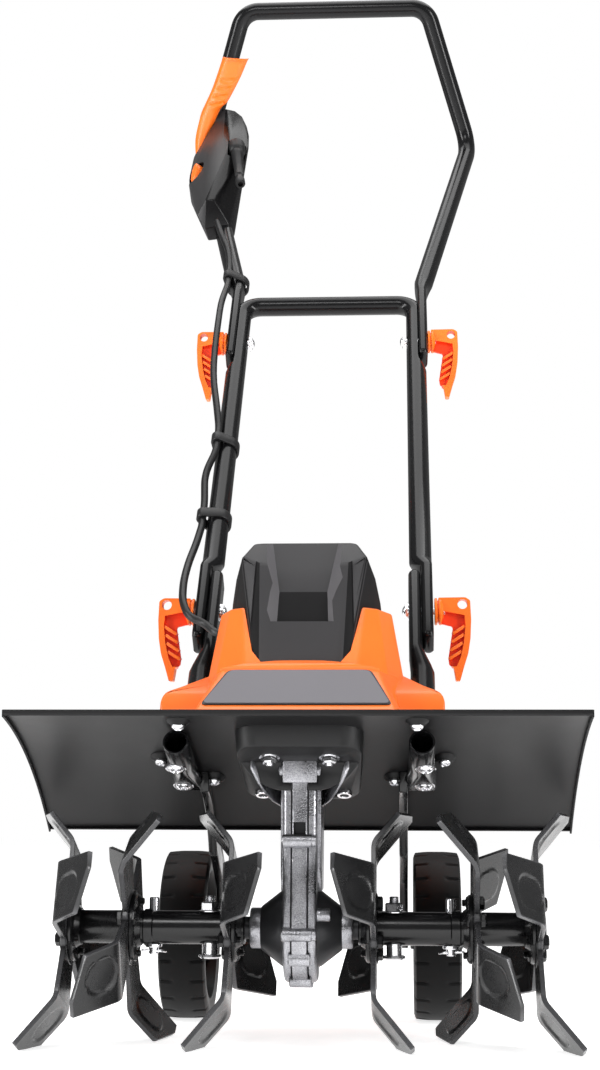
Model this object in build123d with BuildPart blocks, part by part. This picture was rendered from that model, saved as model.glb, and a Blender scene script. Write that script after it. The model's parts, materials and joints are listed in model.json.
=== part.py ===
"""Electric garden tiller: a column gearbox with a six-star tine rotor, a motor hood over a curved
tine guard, two transport wheels, and a two-stage folding tube handle with a switch box.

Millimetres. X is the width, -Y the front (tine) side, +Y the rear (operator) side, Z up.
Every part is drawn with the tine shaft above y = 0 and saved with y = 0 at the middle of the machine's
length, so the origin is on the ground at the middle of its footprint."""
import os
from math import cos, pi, radians, sin, sqrt, tan

from build123d import *

os.makedirs("parts", exist_ok=True)

# ------------------------------------------------------------------ driving dimensions
shaft_radius = 9.0
tube_radius = 13.5  # tine tubes that carry the stars
tine_tip_radius = 106.5  # at the blades' leading points
heel = (-21.0, 91.5)  # a blade's trailing corner: across the blade, out from the shaft
star_phase = 22.5  # neighbouring stars are turned this far each way, so the rotor stands on both sets
shaft_height = heel[1] * cos(radians(star_phase)) - heel[0] * sin(radians(star_phase))
tine_plate = 4.0

wheel_radius = 75.0
wheel_width = 42.0
wheel_x = 113.0
wheel_y = 188.0
axle_radius = 6.0

guard_width = 458.0
guard_sheet = 2.0
guard_front = (-102.0, 263.0)  # y, z of the front edge, upper face
guard_rear = (98.0, 173.6)
guard_arc_radius = 469.0

handle_tube = 11.0  # outer radius of all handle tubes
handle_wall = 1.6
leg_x = 101.5  # half the distance between the two legs
leg_angle = 49.0  # above the horizontal
lower_pivot = (203.0, 373.6)  # y, z of the lower clamp bolt
upper_pivot_s = 454.0  # along the leg from the lower bolt to the upper one
crossbar_s = 531.0
grip_angle = 110.0  # the upper half of the handle leans forward again

column_tilt = 8.0  # the gearbox column and the motor lean back
machine_middle_y = 352.9  # half way from the tine tips to the top bar

slope, rise = cos(radians(leg_angle)), sin(radians(leg_angle))
leg_plane = Plane(
    origin=(0, lower_pivot[0], lower_pivot[1]), x_dir=(1, 0, 0), z_dir=(0, -rise, slope)
)


def leg_point(x, s, n=0.0):
    """A point x across, s up the legs from the lower bolt and n in front of their plane."""
    return leg_plane.from_local_coords((x, s, n))


def across_leg(x, s, n=0.0):
    """A plane across the legs: its local x is the machine's X, its local y points back."""
    return Plane(origin=leg_point(x, s, n), x_dir=(1, 0, 0), z_dir=(0, slope, rise))


def side_plane(x=0.0):
    """A side view at x: local x is the machine's Y, local y is Z."""
    return Plane(origin=(x, 0, 0), x_dir=(0, 1, 0), z_dir=(1, 0, 0))


def save(name, part):
    """Label one finished sub-part, set it in the machine's frame and write it as a STEP file."""
    placed = part.moved(Location((0, -machine_middle_y, 0)))
    placed.label = name
    export_step(placed, f"parts/{name}.step")


# ------------------------------------------------------------------ tine rotor
star_hub = 31.0  # radius of the round middle of a star
bend_radius = 14.0
bend_start = 67.0  # where the two straight legs of a blade would meet
bend_angle = 40.0
press_depth = 1.2  # of the stiffening pad pressed into each paddle
shaft_level = (0.0, 0.0, shaft_height)

# across the blade and out from the shaft, for a blade whose point is on the + side
blade_outline = (
    (-17, 8), (-19, 34), heel, (12, 103.5), (25, 103.5), (31, 62), (23, 34), (17, 8),
)


def tine_blade(lateral, turn):
    """One blade pointing straight up from the shaft: bent sideways to lateral, its point on turn's side.
    A pad pressed into the paddle stiffens it."""
    reach = tine_tip_radius + 8 - bend_start
    with BuildPart() as blade:
        with BuildSketch(Plane.XZ):
            with BuildLine():
                FilletPolyline(
                    (0, 10),
                    (0, bend_start),
                    (lateral * reach * tan(radians(bend_angle)), bend_start + reach),
                    radius=bend_radius,
                )
            trace(line_width=tine_plate)
        extrude(amount=40, both=True)
        with BuildSketch(Plane.YZ.offset(-60)):
            with BuildLine():
                Polyline([(turn * across, out) for across, out in blade_outline], close=True)
            make_face()
        extrude(amount=120, mode=Mode.INTERSECT)
        paddle_dir = Vector(lateral * sin(radians(bend_angle)), 0, cos(radians(bend_angle)))
        paddle = Plane(origin=Vector(0, turn * 1.5, bend_start) + paddle_dir * 17, x_dir=paddle_dir,
                       z_dir=(cos(radians(bend_angle)), 0, -lateral * sin(radians(bend_angle))))
        with BuildSketch(paddle.offset(tine_plate / 2)):
            RectangleRounded(26, 27, 11)
        extrude(amount=press_depth)
        with BuildSketch(paddle.offset(-tine_plate / 2)):
            RectangleRounded(26 - 2 * press_depth, 27 - 2 * press_depth, 10)
        extrude(amount=press_depth, mode=Mode.SUBTRACT)
    return blade.part


def tine_star(name, x, phase, first_lateral):
    """A star of four blades on a drilled square plate; neighbouring blades bend opposite ways."""
    turn = -1 if phase > 0 else 1
    with BuildPart() as star:
        with BuildSketch(side_plane(-tine_plate / 2)):
            Circle(star_hub)
            with PolarLocations(22, 4, start_angle=45):
                Circle(3.2, mode=Mode.SUBTRACT)
        extrude(amount=tine_plate)
        for quarter in range(4):
            lateral = first_lateral * (-1) ** quarter
            blade = tine_blade(lateral, turn)
            add(blade.rotate(Axis.X, 90 * quarter))
        with Locations(Rotation(0, 90, 0)):
            Cylinder(tube_radius, 20, mode=Mode.SUBTRACT)
    placed = star.part.rotate(Axis.X, phase).moved(Location((x, 0, shaft_height)))
    save(name, placed)


# name, distance from the middle, phase of the top blade (+ leans back), bend of the top blade
star_table = (
    ("inner", 58.5, star_phase, 1),
    ("middle", 141.0, -star_phase, -1),
    ("outer", 190.5, star_phase, 1),
)
for side_name, side in (("left", -1), ("right", 1)):
    for star_name, star_x, phase, bend in star_table:
        tine_star(f"tine_star_{side_name}_{star_name}", side * star_x, -phase, side * bend)

inner_tube = (46.0, 148.0)  # start and end of the inner tine tube
outer_tube = (120.0, 197.0)
with BuildPart() as output_shaft:
    with Locations(Location(shaft_level, (0, 90, 0))):
        Cylinder(shaft_radius, 2 * 160)
save("output_shaft", output_shaft.part)

for side_name, side in (("left", -1), ("right", 1)):
    with BuildPart() as tine_tube:
        middle = side * (inner_tube[0] + outer_tube[1]) / 2
        with Locations(Location((middle, 0, shaft_height), (0, 90, 0))):
            Cylinder(tube_radius, outer_tube[1] - inner_tube[0])
        with Locations(Location((side * 100, 0, shaft_height), (0, 90, 0))):
            Cylinder(shaft_radius, 120, mode=Mode.SUBTRACT)
        end_middle = side * (160 + outer_tube[1]) / 2
        with Locations(Location((end_middle, 0, shaft_height), (0, 90, 0))):
            Cylinder(tube_radius - 2, outer_tube[1] - 160, mode=Mode.SUBTRACT)
    save(f"tine_tube_{side_name}", tine_tube.part)

# ------------------------------------------------------------------ gearbox
gear_radius = 43.0
case_half = 13.5
rib_half = 6.0
case_front = ((-43, shaft_height), (-36, 150), (-33, 232))  # the front line of the column, going up
hub_cone = ((29.5, 15.0), (17.0, 33.0))  # radius and distance from the middle, wide and narrow end
collar_radius, collar_end = 16.2, 42.0
boss_levels = (163.0, 90.0)  # heights of the two screw bosses on the column's front


def column_face(grow, rear):
    """The gearbox in side view: the round gear chamber and the column above it."""
    Polyline(*[(y - grow, z) for y, z in case_front], (rear, 216), (rear - 1, 150), (rear + 9, shaft_height),
             close=True)


with BuildPart() as gear_case:
    with BuildSketch(side_plane(-case_half)):
        with Locations((0, shaft_height)):
            Circle(gear_radius)
        with BuildLine():
            column_face(0, 33)
        make_face()
    extrude(amount=2 * case_half)
    with BuildSketch(side_plane(-case_half - 3)):  # the wider rear wall of the column
        with BuildLine():
            Polyline((-16, 140), (-18, 232), (35, 214), (34, 140), (30, 124), (-10, 124), close=True)
        make_face()
    extrude(amount=2 * case_half + 6)
    with BuildSketch(side_plane(-rib_half)):  # the middle rib, which runs on round the chamber
        with Locations((0, shaft_height)):
            Circle(gear_radius + 2.5)
        with BuildLine():
            column_face(2.5, 33)
        make_face()
    extrude(amount=2 * rib_half)
    with BuildSketch(side_plane(-case_half - 0.5)):  # the square head
        with BuildLine():
            Polyline((-38.5, 209), (-37.5, 234), (20, 222), (20, 209), close=True)
        make_face()
    extrude(amount=2 * case_half + 1)
    with BuildSketch(Plane.XZ.offset(37)):  # a notch in the rib above the upper boss
        with Locations((0, boss_levels[0] + 9)):
            Rectangle(2 * rib_half, 9)
    extrude(amount=12, mode=Mode.SUBTRACT)
    for boss_z, boss_y in zip(boss_levels, (-38.0, -44.0)):
        with Locations(Location((0, boss_y, boss_z), (0, 90, 0))):
            Cylinder(5.2, 25)
    for side in (-1, 1):  # side bosses of the head
        with Locations(Location((side * 13, -31, 219), (0, 90, 0))):
            Cylinder(5.5, 8)
    for side in (-1, 1):
        with BuildSketch(side_plane(side * hub_cone[0][1])):
            with Locations((0, shaft_height)):
                Circle(hub_cone[0][0])
        with BuildSketch(side_plane(side * hub_cone[1][1])):
            with Locations((0, shaft_height)):
                Circle(hub_cone[1][0])
        loft()
        with Locations(Location((side * hub_cone[0][1] / 2, 0, shaft_height), (0, 90, 0))):
            Cylinder(hub_cone[0][0], hub_cone[0][1])
    with Locations(Location(shaft_level, (0, 90, 0))):
        Cylinder(collar_radius, 2 * collar_end)
        Cylinder(shaft_radius + 0.05, 2 * 60, mode=Mode.SUBTRACT)
gear_halves = split(gear_case.part, bisect_by=Plane.YZ, keep=Keep.BOTH)
for half in gear_halves.solids():
    half_name = "left" if half.center().X < 0 else "right"
    save(f"gear_case_{half_name}", Part(half.wrapped))


# ------------------------------------------------------------------ tine guard
guard_chord = Vector(*guard_rear) - Vector(*guard_front)
guard_middle = (Vector(*guard_rear) + Vector(*guard_front)) / 2
guard_centre = guard_middle + Vector(guard_chord.Y, -guard_chord.X).normalized() * sqrt(
    guard_arc_radius**2 - guard_chord.length**2 / 4
)

base_half_x = 52.0
base_front, base_rear = -66.0, 40.0
with BuildPart() as tine_guard:
    with BuildSketch(side_plane(-guard_width / 2)):
        with Locations((guard_centre.X, guard_centre.Y)):
            Circle(guard_arc_radius + guard_sheet / 2)
            Circle(guard_arc_radius - guard_sheet / 2, mode=Mode.SUBTRACT)
        with Locations(((guard_front[0] + guard_rear[0]) / 2, 240)):
            Rectangle(guard_rear[0] - guard_front[0], 200, mode=Mode.INTERSECT)
    extrude(amount=guard_width)
    with BuildSketch(Plane.XY.offset(150)):
        with Locations((0, (base_front + base_rear) / 2)):
            RectangleRounded(2 * base_half_x, base_rear - base_front, 18)
    extrude(amount=150, mode=Mode.SUBTRACT)
save("tine_guard", tine_guard.part)

# ------------------------------------------------------------------ motor base, motor, hood
motor_radius = 38.0
motor_plane = Plane(
    origin=(0, 50, 266), x_dir=(1, 0, 0), z_dir=(0, sin(radians(column_tilt)), cos(radians(column_tilt)))
)
flange_tilt = Vector(0, 106, -43).normalized()  # along the underside of the base, front to rear


def base_plan(half_x, grow):
    """The outline of the motor base, seen from above."""
    with Locations((0, (base_front + base_rear) / 2)):
        RectangleRounded(2 * half_x, base_rear - base_front + 2 * grow, 18)


with BuildPart() as motor_base:
    with BuildSketch(Plane.XY.offset(250)):
        base_plan(base_half_x - 0.2, -0.2)
    with BuildSketch(Plane.XY.offset(190)):
        base_plan(base_half_x - 6, -5)
    loft()
    with BuildSketch(Plane.XY.offset(250)):
        base_plan(base_half_x - 0.2, -0.2)
    extrude(amount=40)
    with BuildSketch(side_plane(-80)):
        with BuildLine():
            Polyline((-90, 247.3), (60, 186.5), (60, 215), (-90, 272), close=True)
        make_face()
    extrude(amount=160, mode=Mode.INTERSECT)
    with BuildSketch(motor_plane):  # the seat that carries the motor
        Circle(motor_radius + 3)
    extrude(amount=-48)
    with BuildSketch(side_plane(-80)):
        with BuildLine():
            Polyline((-90, 247.3), (60, 186.5), (140, 154), (140, 100), (-90, 100), close=True)
        make_face()
    extrude(amount=160, mode=Mode.SUBTRACT)
    floor = Plane(origin=(0, -13, 216.1), x_dir=(1, 0, 0), z_dir=Vector(1, 0, 0).cross(flange_tilt))
    with BuildSketch(floor):  # the pan is sunk inside its rim
        RectangleRounded(84, 92, 14)
    extrude(amount=5, mode=Mode.SUBTRACT)
    with BuildSketch(floor.offset(5)):
        for x, y in ((-24, -34), (24, -34), (-34, 38), (34, 38)):
            with Locations((x, y)):
                Circle(6)
    extrude(amount=-7)
    with BuildSketch(Plane.XZ.offset(36)):  # the curved web that braces the column
        with BuildLine():
            Polyline((0, 232), (48, 232), (48, 227))
            RadiusArc((48, 227), (16, 203), 42)
            Polyline((16, 203), (0, 203), (0, 232))
        make_face()
        mirror(about=Plane.YZ)
    extrude(amount=-8)
    add(gear_case.part, mode=Mode.SUBTRACT)
save("motor_base", motor_base.part)

with BuildPart() as motor:
    with BuildSketch(motor_plane):
        Circle(motor_radius)
    extrude(amount=96)
save("motor", motor.part)

# the hood's front, seen from the side: its raised mask, and the panel sunk into the mask
shell_wall = 3.0
mask_line = ((-30, 308.5), (14, 392), (38, 414.5))
panel_line = ((-12.3, 342), (6, 369), (45, 417.5))
cowl_side = ((-41, 288), *mask_line, (62, 418.5), (108, 418.5), (150, 392), (176, 340), (178, 288))
# half the hood's width at each height, seen from the front
cowl_front = ((67, 340), (64.5, 364), (60.5, 384), (54, 400), (44, 415), (38, 421))
# the slanting sides of the mask: three points of each plane, right-hand side
mask_edge = (Vector(38, -30, 308.5), Vector(51.5, 16.6, 394.5), Vector(67, 66, 340))
tail_edge = (Vector(67, 116, 300), Vector(44, 177, 300), Vector(56, 112, 400))


def mirrored_line(half_line):
    """A front view outline from its right half, listed upwards."""
    return [*half_line, *[(-x, z) for x, z in reversed(half_line)]]


def corner_wedge(edge, outward):
    """A thick slab outside the plane through three points, for cutting a slanting side."""
    normal = (edge[1] - edge[0]).cross(edge[2] - edge[0]).normalized()
    normal = normal if normal.dot(outward) > 0 else -normal
    with BuildPart() as wedge:
        with BuildSketch(Plane(origin=edge[0], z_dir=normal)):
            Rectangle(600, 600)
        extrude(amount=100)
    return wedge.part


def cowl_form(inset, floor):
    """The hood's closed form: its side view cut to its front view and to its slanting sides."""
    with BuildPart() as form:
        with BuildSketch(side_plane(-100)):
            with BuildLine():
                Polyline((-41, floor), *cowl_side, (178, floor), close=True)
            make_face()
            if inset:
                offset(amount=-inset, kind=Kind.INTERSECTION)
        extrude(amount=200)
        with BuildSketch(Plane.XZ.offset(-250)):
            with BuildLine():
                Polyline(mirrored_line(((67, floor), *cowl_front)), close=True)
            make_face()
            if inset:
                offset(amount=-inset, kind=Kind.INTERSECTION)
        extrude(amount=400, mode=Mode.INTERSECT)
        for edge, outward in ((mask_edge, Vector(1, -1, 0)), (tail_edge, Vector(1, 1, 0))):
            cut = corner_wedge([point - outward.normalized() * inset for point in edge], outward)
            add(cut, mode=Mode.SUBTRACT)
            add(cut.mirror(Plane.YZ), mode=Mode.SUBTRACT)
    return form.part


cowl_solid = cowl_form(0, 280)
with BuildPart() as panel_recess:
    with BuildSketch(side_plane(-60)):
        with BuildLine():
            Polyline(*panel_line, (45, 440), (-60, 440), (-60, 342), close=True)
        make_face()
    extrude(amount=120)
    with BuildSketch(Plane.XZ.offset(80)):
        with BuildLine():
            Polyline(mirrored_line(((23, 340), (23.5, 369), (39, 422))), close=True)
        make_face()
    with BuildSketch(Plane.XZ.offset(-50)):
        with BuildLine():
            Polyline(mirrored_line(((20.5, 340), (19, 369), (30, 422))), close=True)
        make_face()
    loft(mode=Mode.INTERSECT)

with BuildPart() as cowl:
    add(cowl_solid)
    add(panel_recess.part, mode=Mode.SUBTRACT)
    with BuildPart(mode=Mode.PRIVATE) as hollow:
        add(cowl_form(shell_wall, 200))
        with BuildSketch(side_plane(-60)):
            with BuildLine():
                Polyline((-41, 260), (-38, 300), (-7.6, 338), (11, 367.5), (49, 414), (178, 420), (178, 260),
                         close=True)
            make_face()
        extrude(amount=120, mode=Mode.INTERSECT)
    add(hollow.part, mode=Mode.SUBTRACT)
    with BuildSketch(Plane.XY.offset(200)):
        Rectangle(400, 800)
    extrude(amount=92, mode=Mode.SUBTRACT)
save("motor_cowl", cowl.part)

# half plans of the orange housing, from its front middle round the right side to its rear
housing_levels = (
    (180, ((112, -238), (95, -60), (97, 40), (97, 110), (90, 190))),
    (299, ((63.5, -46), (71, -12), (84, 48), (84, 110), (80, 178))),
)
cavity_levels = (
    (176, ((108, -238), (91, -60), (93, 40), (93, 110), (86, 186))),
    (295, ((60, -42), (67, -11), (80, 48), (80, 110), (76, 174))),
)
shoulder_levels = (
    (299, ((45, -37), (71, -12), (84, 48), (84, 130), (76, 178))),
    (356, ((52, 8), (63, 20), (74, 58), (72, 118), (62, 150))),
)


def lofted_plans(levels):
    """A block with flat sides between two symmetrical plans."""
    with BuildPart() as block:
        for z, half_plan in levels:
            with BuildSketch(Plane.XY.offset(z)):
                with BuildLine():
                    Polyline(*half_plan, *[(-x, y) for x, y in reversed(half_plan)], close=True)
                make_face()
        loft(ruled=True)
    return block.part


wing_side = ((-14, 268), (-4, 284), (14, 292), (60, 303), (150, 303), (166, 290), (166, 240), (92, 186),
             (40, 196))
wing_front = ((117.5, 150), (117.5, 283), (100, 290.5), (78, 306))

with BuildPart() as housing:
    add(lofted_plans(housing_levels))
    with BuildPart(mode=Mode.PRIVATE) as shoulders:
        add(lofted_plans(shoulder_levels))
        with BuildSketch(side_plane(-100)):
            with BuildLine():
                Polyline((-60, 290), (-60, 380), (84, 380), (84, 356), (172, 299), (185, 290), close=True)
            make_face()
        extrude(amount=200, mode=Mode.INTERSECT)
    add(shoulders.part)
    with BuildPart(mode=Mode.PRIVATE) as wings:
        with BuildSketch(side_plane(-130)):
            with BuildLine():
                Polyline(wing_side, close=True)
            make_face()
        extrude(amount=260)
        with BuildSketch(Plane.XZ.offset(-300)):
            with BuildLine():
                FilletPolyline(*mirrored_line(wing_front), radius=12, close=True)
            make_face()
        extrude(amount=400, mode=Mode.INTERSECT)
    add(wings.part)
    with BuildSketch(side_plane(-90)):  # the lip round the foot of the hood
        with BuildLine():
            Polyline((-47, 299), (-44, 302), (-37, 307), (-28, 308), (0, 308), (0, 298), close=True)
        make_face()
    lip = extrude(amount=180, mode=Mode.PRIVATE)
    with BuildSketch(Plane.XZ.offset(100)):
        with BuildLine():
            Polyline((-64, 290), (-64, 300.5), close=False)
            ThreePointArc((-64, 300.5), (0, 308), (64, 300.5))
            Polyline((64, 300.5), (64, 290), (-64, 290))
        make_face()
    arch = extrude(amount=-200, mode=Mode.PRIVATE)
    add(lip & arch)
    add(lofted_plans(cavity_levels), mode=Mode.SUBTRACT)
    with BuildSketch(side_plane(-300)):
        with Locations((guard_centre.X, guard_centre.Y)):
            Circle(guard_arc_radius + guard_sheet / 2)
    extrude(amount=600, mode=Mode.SUBTRACT)
    with BuildSketch(side_plane(-300)):
        with BuildLine():
            Polyline((98, 100), (98, 173), (104, 186), (180, 230), (240, 230), (240, 100), close=True)
        make_face()
    extrude(amount=600, mode=Mode.SUBTRACT)
    add(cowl_solid, mode=Mode.SUBTRACT)
    add(motor_base.part, mode=Mode.SUBTRACT)
    for side in (-1, 1):
        with BuildSketch(across_leg(side * leg_x, -250)):
            Circle(handle_tube + 0.1)
        extrude(amount=200, mode=Mode.SUBTRACT)
housing_body = housing.part.solids().sort_by(SortBy.VOLUME)[-1]
save("housing_shell", Part(housing_body.wrapped))

# ------------------------------------------------------------------ handle tubes
press_half = 13.6  # half the width of a pressed tube end
press_thick = 11.9  # its thickness; two pressed ends lie side by side in one tube's width
press_gap = 0.15  # from the joint's middle plane to each pressed face
lower_end_s = 48.0
middle_end_s = -45.0
upper_end_s = upper_pivot_s - 36.0
flat_end = 56.0  # from a bolt to where a pressed end starts to turn round again
turn_round = 24.0
bolt_radius = 4.0


def pressed_end(side, face, s_tip, s_flat, s_round, thin=0.0):
    """A tube's pressed end on one side of the joint plane: a rounded flat tongue from s_tip to s_flat and
    a lofted turn to the round tube at s_round. face is +1 outside the joint plane and -1 inside."""
    centre = side * (leg_x + face * (press_gap + press_thick / 2))
    with BuildPart() as end:
        with BuildSketch(across_leg(centre, s_flat)):
            RectangleRounded(press_thick - 2 * thin, 2 * (press_half - thin), 5.5 - thin)
        with BuildSketch(across_leg(side * leg_x, s_round)):
            Circle(handle_tube - thin)
        loft()
        low, high = min(s_tip, s_flat), max(s_tip, s_flat)
        with BuildSketch(across_leg(centre, low)):
            RectangleRounded(press_thick - 2 * thin, 2 * (press_half - thin), 5.5 - thin)
        extrude(amount=high - low)
    return end.part


def bolt_hole(s):
    """A drill through both legs at a clamp bolt."""
    return Cylinder(bolt_radius + 0.05, 400, mode=Mode.PRIVATE).moved(Location(leg_point(0, s), (0, 90, 0)))


for side_name, side in (("left", -1), ("right", 1)):
    with BuildPart() as lower_tube:
        with BuildSketch(across_leg(side * leg_x, -flat_end - turn_round)):
            Circle(handle_tube)
        extrude(amount=-90)
        add(pressed_end(side, -1, lower_end_s, -flat_end, -flat_end - turn_round))
        with BuildSketch(across_leg(side * leg_x, -flat_end - turn_round)):
            Circle(handle_tube - handle_wall)
        extrude(amount=-90, mode=Mode.SUBTRACT)
        add(bolt_hole(0), mode=Mode.SUBTRACT)
    save(f"lower_tube_{side_name}", lower_tube.part)

corner_radius = 22.0
upper_flat_s = upper_pivot_s - 60.0  # the middle frame's legs are pressed flat outside from here up
upper_flat_x = leg_x + 1.6


def middle_form(radius, flat_x):
    """The middle frame's round tube as a solid of this radius, pressed flat outside flat_x."""
    with BuildPart() as form:
        with BuildLine(leg_plane) as path:
            FilletPolyline(
                (-leg_x, flat_end + turn_round),
                (-leg_x, crossbar_s),
                (leg_x, crossbar_s),
                (leg_x, flat_end + turn_round),
                radius=corner_radius,
            )
        with BuildSketch(Plane(origin=path.line @ 0, x_dir=(1, 0, 0), z_dir=path.line % 0)):
            Circle(radius)
        sweep()
        for side in (-1, 1):
            with BuildSketch(leg_plane.offset(-30)):
                with Locations((side * (flat_x + 20), (upper_flat_s + crossbar_s + 30) / 2)):
                    Rectangle(40, crossbar_s + 30 - upper_flat_s)
            extrude(amount=60, mode=Mode.SUBTRACT)
    return form.part


with BuildPart() as middle_frame:
    add(middle_form(handle_tube, upper_flat_x))
    for side in (-1, 1):
        add(pressed_end(side, 1, middle_end_s, flat_end, flat_end + turn_round))
    add(middle_form(handle_tube - handle_wall, upper_flat_x - handle_wall), mode=Mode.SUBTRACT)
    add(bolt_hole(0), mode=Mode.SUBTRACT)
    add(bolt_hole(upper_pivot_s), mode=Mode.SUBTRACT)
save("middle_frame", middle_frame.part)

# the upper handle: pressed legs outside the middle frame, a wide bend, a grip loop that leans forward
upper_tongue_x = upper_flat_x + 0.3 + 11.0 / 2
flare_s = 550.0  # where the pressed leg ends
flare_round = 576.0
bend_x, bend_s = 177.0, 915.0
top_x, top_reach = 121.0, 181.0
grip_dir = (0, cos(radians(grip_angle)), sin(radians(grip_angle)))
bend_point = {side: leg_point(side * bend_x, bend_s) for side in (-1, 1)}
top_point = {
    side: Vector(side * top_x, bend_point[side].Y + top_reach * grip_dir[1],
                 bend_point[side].Z + top_reach * grip_dir[2])
    for side in (-1, 1)
}
flare_x = upper_tongue_x - 2.0
flare_start = {
    side: leg_point(side * (flare_x + (bend_x - flare_x) * (flare_round - flare_s) / (bend_s - flare_s)),
                    flare_round)
    for side in (-1, 1)
}


def upper_form(radius, thin):
    """The upper handle as one solid: thin is taken off every outer face for its hollow."""
    with BuildPart() as form:
        with BuildLine() as path:
            FilletPolyline(flare_start[-1], bend_point[-1], top_point[-1], top_point[1], bend_point[1],
                           flare_start[1], radius=(40, 27, 27, 40))
        with BuildSketch(Plane(origin=path.line @ 0, z_dir=path.line % 0)):
            Circle(radius)
        sweep(transition=Transition.ROUND)
        for side in (-1, 1):
            with BuildSketch(across_leg(side * upper_tongue_x, flare_s)):
                RectangleRounded(11.0 - 2 * thin, 2 * (press_half - thin), 5.2 - thin)
            round_dir = (bend_point[side] - flare_start[side]).normalized()
            with BuildSketch(Plane(origin=flare_start[side], x_dir=(1, 0, 0), z_dir=round_dir)):
                Circle(radius)
            loft()
            with BuildSketch(across_leg(side * upper_tongue_x, upper_end_s)):
                RectangleRounded(11.0 - 2 * thin, 2 * (press_half - thin), 5.2 - thin)
            extrude(amount=flare_s - upper_end_s)
    return form.part


with BuildPart() as upper_handle:
    add(upper_form(handle_tube, 0))
    add(upper_form(handle_tube - handle_wall, handle_wall), mode=Mode.SUBTRACT)
    add(bolt_hole(upper_pivot_s), mode=Mode.SUBTRACT)
save("upper_handle", upper_handle.part)

# ------------------------------------------------------------------ wheels and their stays
stay_x = 98.0  # the stay's tube under the guard
stay_radius = 10.5
bar_inner_x, bar_outer_x = 79.5, 87.0  # its pressed lower end beside the wheel
tine_clearance = tine_tip_radius + 5.5
wheel_hub_half = 24.0
with BuildPart() as wheel_axle:
    with Locations(Location((0, wheel_y, wheel_radius), (0, 90, 0))):
        Cylinder(axle_radius, 2 * 142)
    for side in (-1, 1):
        with Locations(Location((side * 141, wheel_y, wheel_radius), (0, 90, 0))):
            Cylinder(10, 6)
save("wheel_axle", wheel_axle.part)


def under_guard(y, drop):
    """A point at y, drop below the guard's underside, square to it."""
    radius = guard_arc_radius - guard_sheet / 2 - drop
    return y, guard_centre.Y + sqrt(radius**2 - (y - guard_centre.X) ** 2)


def wheel_stay(side):
    """An open tube bolted under the guard, pressed flat towards the rear, and the bar down to the axle."""
    with BuildPart() as stay:
        tube_start = Vector(0, *under_guard(-60, stay_radius + 0.2))
        tube_end = Vector(0, *under_guard(-14, stay_radius + 0.2))
        flat_start = Vector(0, *under_guard(30, 5))
        tube_dir = (tube_end - tube_start).normalized()
        sideways = Vector(side * stay_x, 0, 0)
        with BuildSketch(Plane(origin=tube_start + sideways, x_dir=(1, 0, 0), z_dir=tube_dir)):
            Circle(stay_radius)
        extrude(amount=(tube_end - tube_start).length)
        with BuildSketch(Plane(origin=tube_end + sideways, x_dir=(1, 0, 0), z_dir=tube_dir)):
            Circle(stay_radius)
        with BuildSketch(Plane(origin=flat_start + sideways, x_dir=(1, 0, 0), z_dir=tube_dir)):
            RectangleRounded(26, 8.6, 4)
        loft()
        with BuildSketch(Plane(origin=tube_start + sideways, x_dir=(1, 0, 0), z_dir=tube_dir)):
            Circle(stay_radius - handle_wall)
        extrude(amount=(tube_end - tube_start).length, mode=Mode.SUBTRACT)
        with BuildSketch(side_plane(side * bar_inner_x if side > 0 else -bar_outer_x)):
            with Locations((65, 185)):
                Rectangle(86, 86)
            with Locations((guard_centre.X, guard_centre.Y)):
                Circle(guard_arc_radius - guard_sheet / 2 - 0.2, mode=Mode.INTERSECT)
            with Locations((0, shaft_height)):
                Circle(tine_clearance, mode=Mode.SUBTRACT)
            with Locations((108, 140)):
                Rectangle(20, 40, mode=Mode.SUBTRACT)
            with BuildLine():
                FilletPolyline((92, 170), (168, 128), (wheel_y, wheel_radius), radius=30)
            trace(line_width=22)
            with Locations((wheel_y, wheel_radius)):
                Circle(12)
            with Locations((0, shaft_height)):
                Circle(tine_clearance, mode=Mode.SUBTRACT)
        extrude(amount=bar_outer_x - bar_inner_x)
        with Locations(Location((0, wheel_y, wheel_radius), (0, 90, 0))):
            Cylinder(axle_radius, 300, mode=Mode.SUBTRACT)
        add(tine_guard.part, mode=Mode.SUBTRACT)
    return stay.part


for side_name, side in (("left", -1), ("right", 1)):
    with BuildPart() as wheel:
        with BuildSketch(Plane.XY):
            with BuildLine():
                half = wheel_width / 2
                Polyline((axle_radius + 0.06, -wheel_hub_half), (13, -wheel_hub_half), (13, -4), (56, -4),
                         (56, -half + 2), (66, -half), (wheel_radius - 4, -half),
                         (wheel_radius, -half + 6), (wheel_radius, half - 6), (wheel_radius - 4, half),
                         (66, half), (56, half - 2), (56, 4), (13, 4), (13, wheel_hub_half),
                         (axle_radius + 0.06, wheel_hub_half), close=True)
            make_face()
        revolve(axis=Axis.Y)
        with BuildSketch(Plane.XZ.offset(-30)):
            with PolarLocations(34, 6):
                Circle(11)
        extrude(amount=60, mode=Mode.SUBTRACT)
    placed = wheel.part.rotate(Axis.Z, 90).moved(Location((side * wheel_x, wheel_y, wheel_radius)))
    save(f"wheel_{side_name}", placed)
    save(f"wheel_stay_{side_name}", wheel_stay(side))

# ------------------------------------------------------------------ clamp bolts and cam levers
# joint, s of the bolt, x where the lever's collar starts
clamp_table = (
    ("lower", 0.0, 113.9),
    ("upper", upper_pivot_s, 114.8),
)
nut_x = 82.0
bolt_end_x = 124.0
lever_half = 7.0  # half a lever's thickness
lever_web = 2.2  # half of what is left between its two pockets
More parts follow.
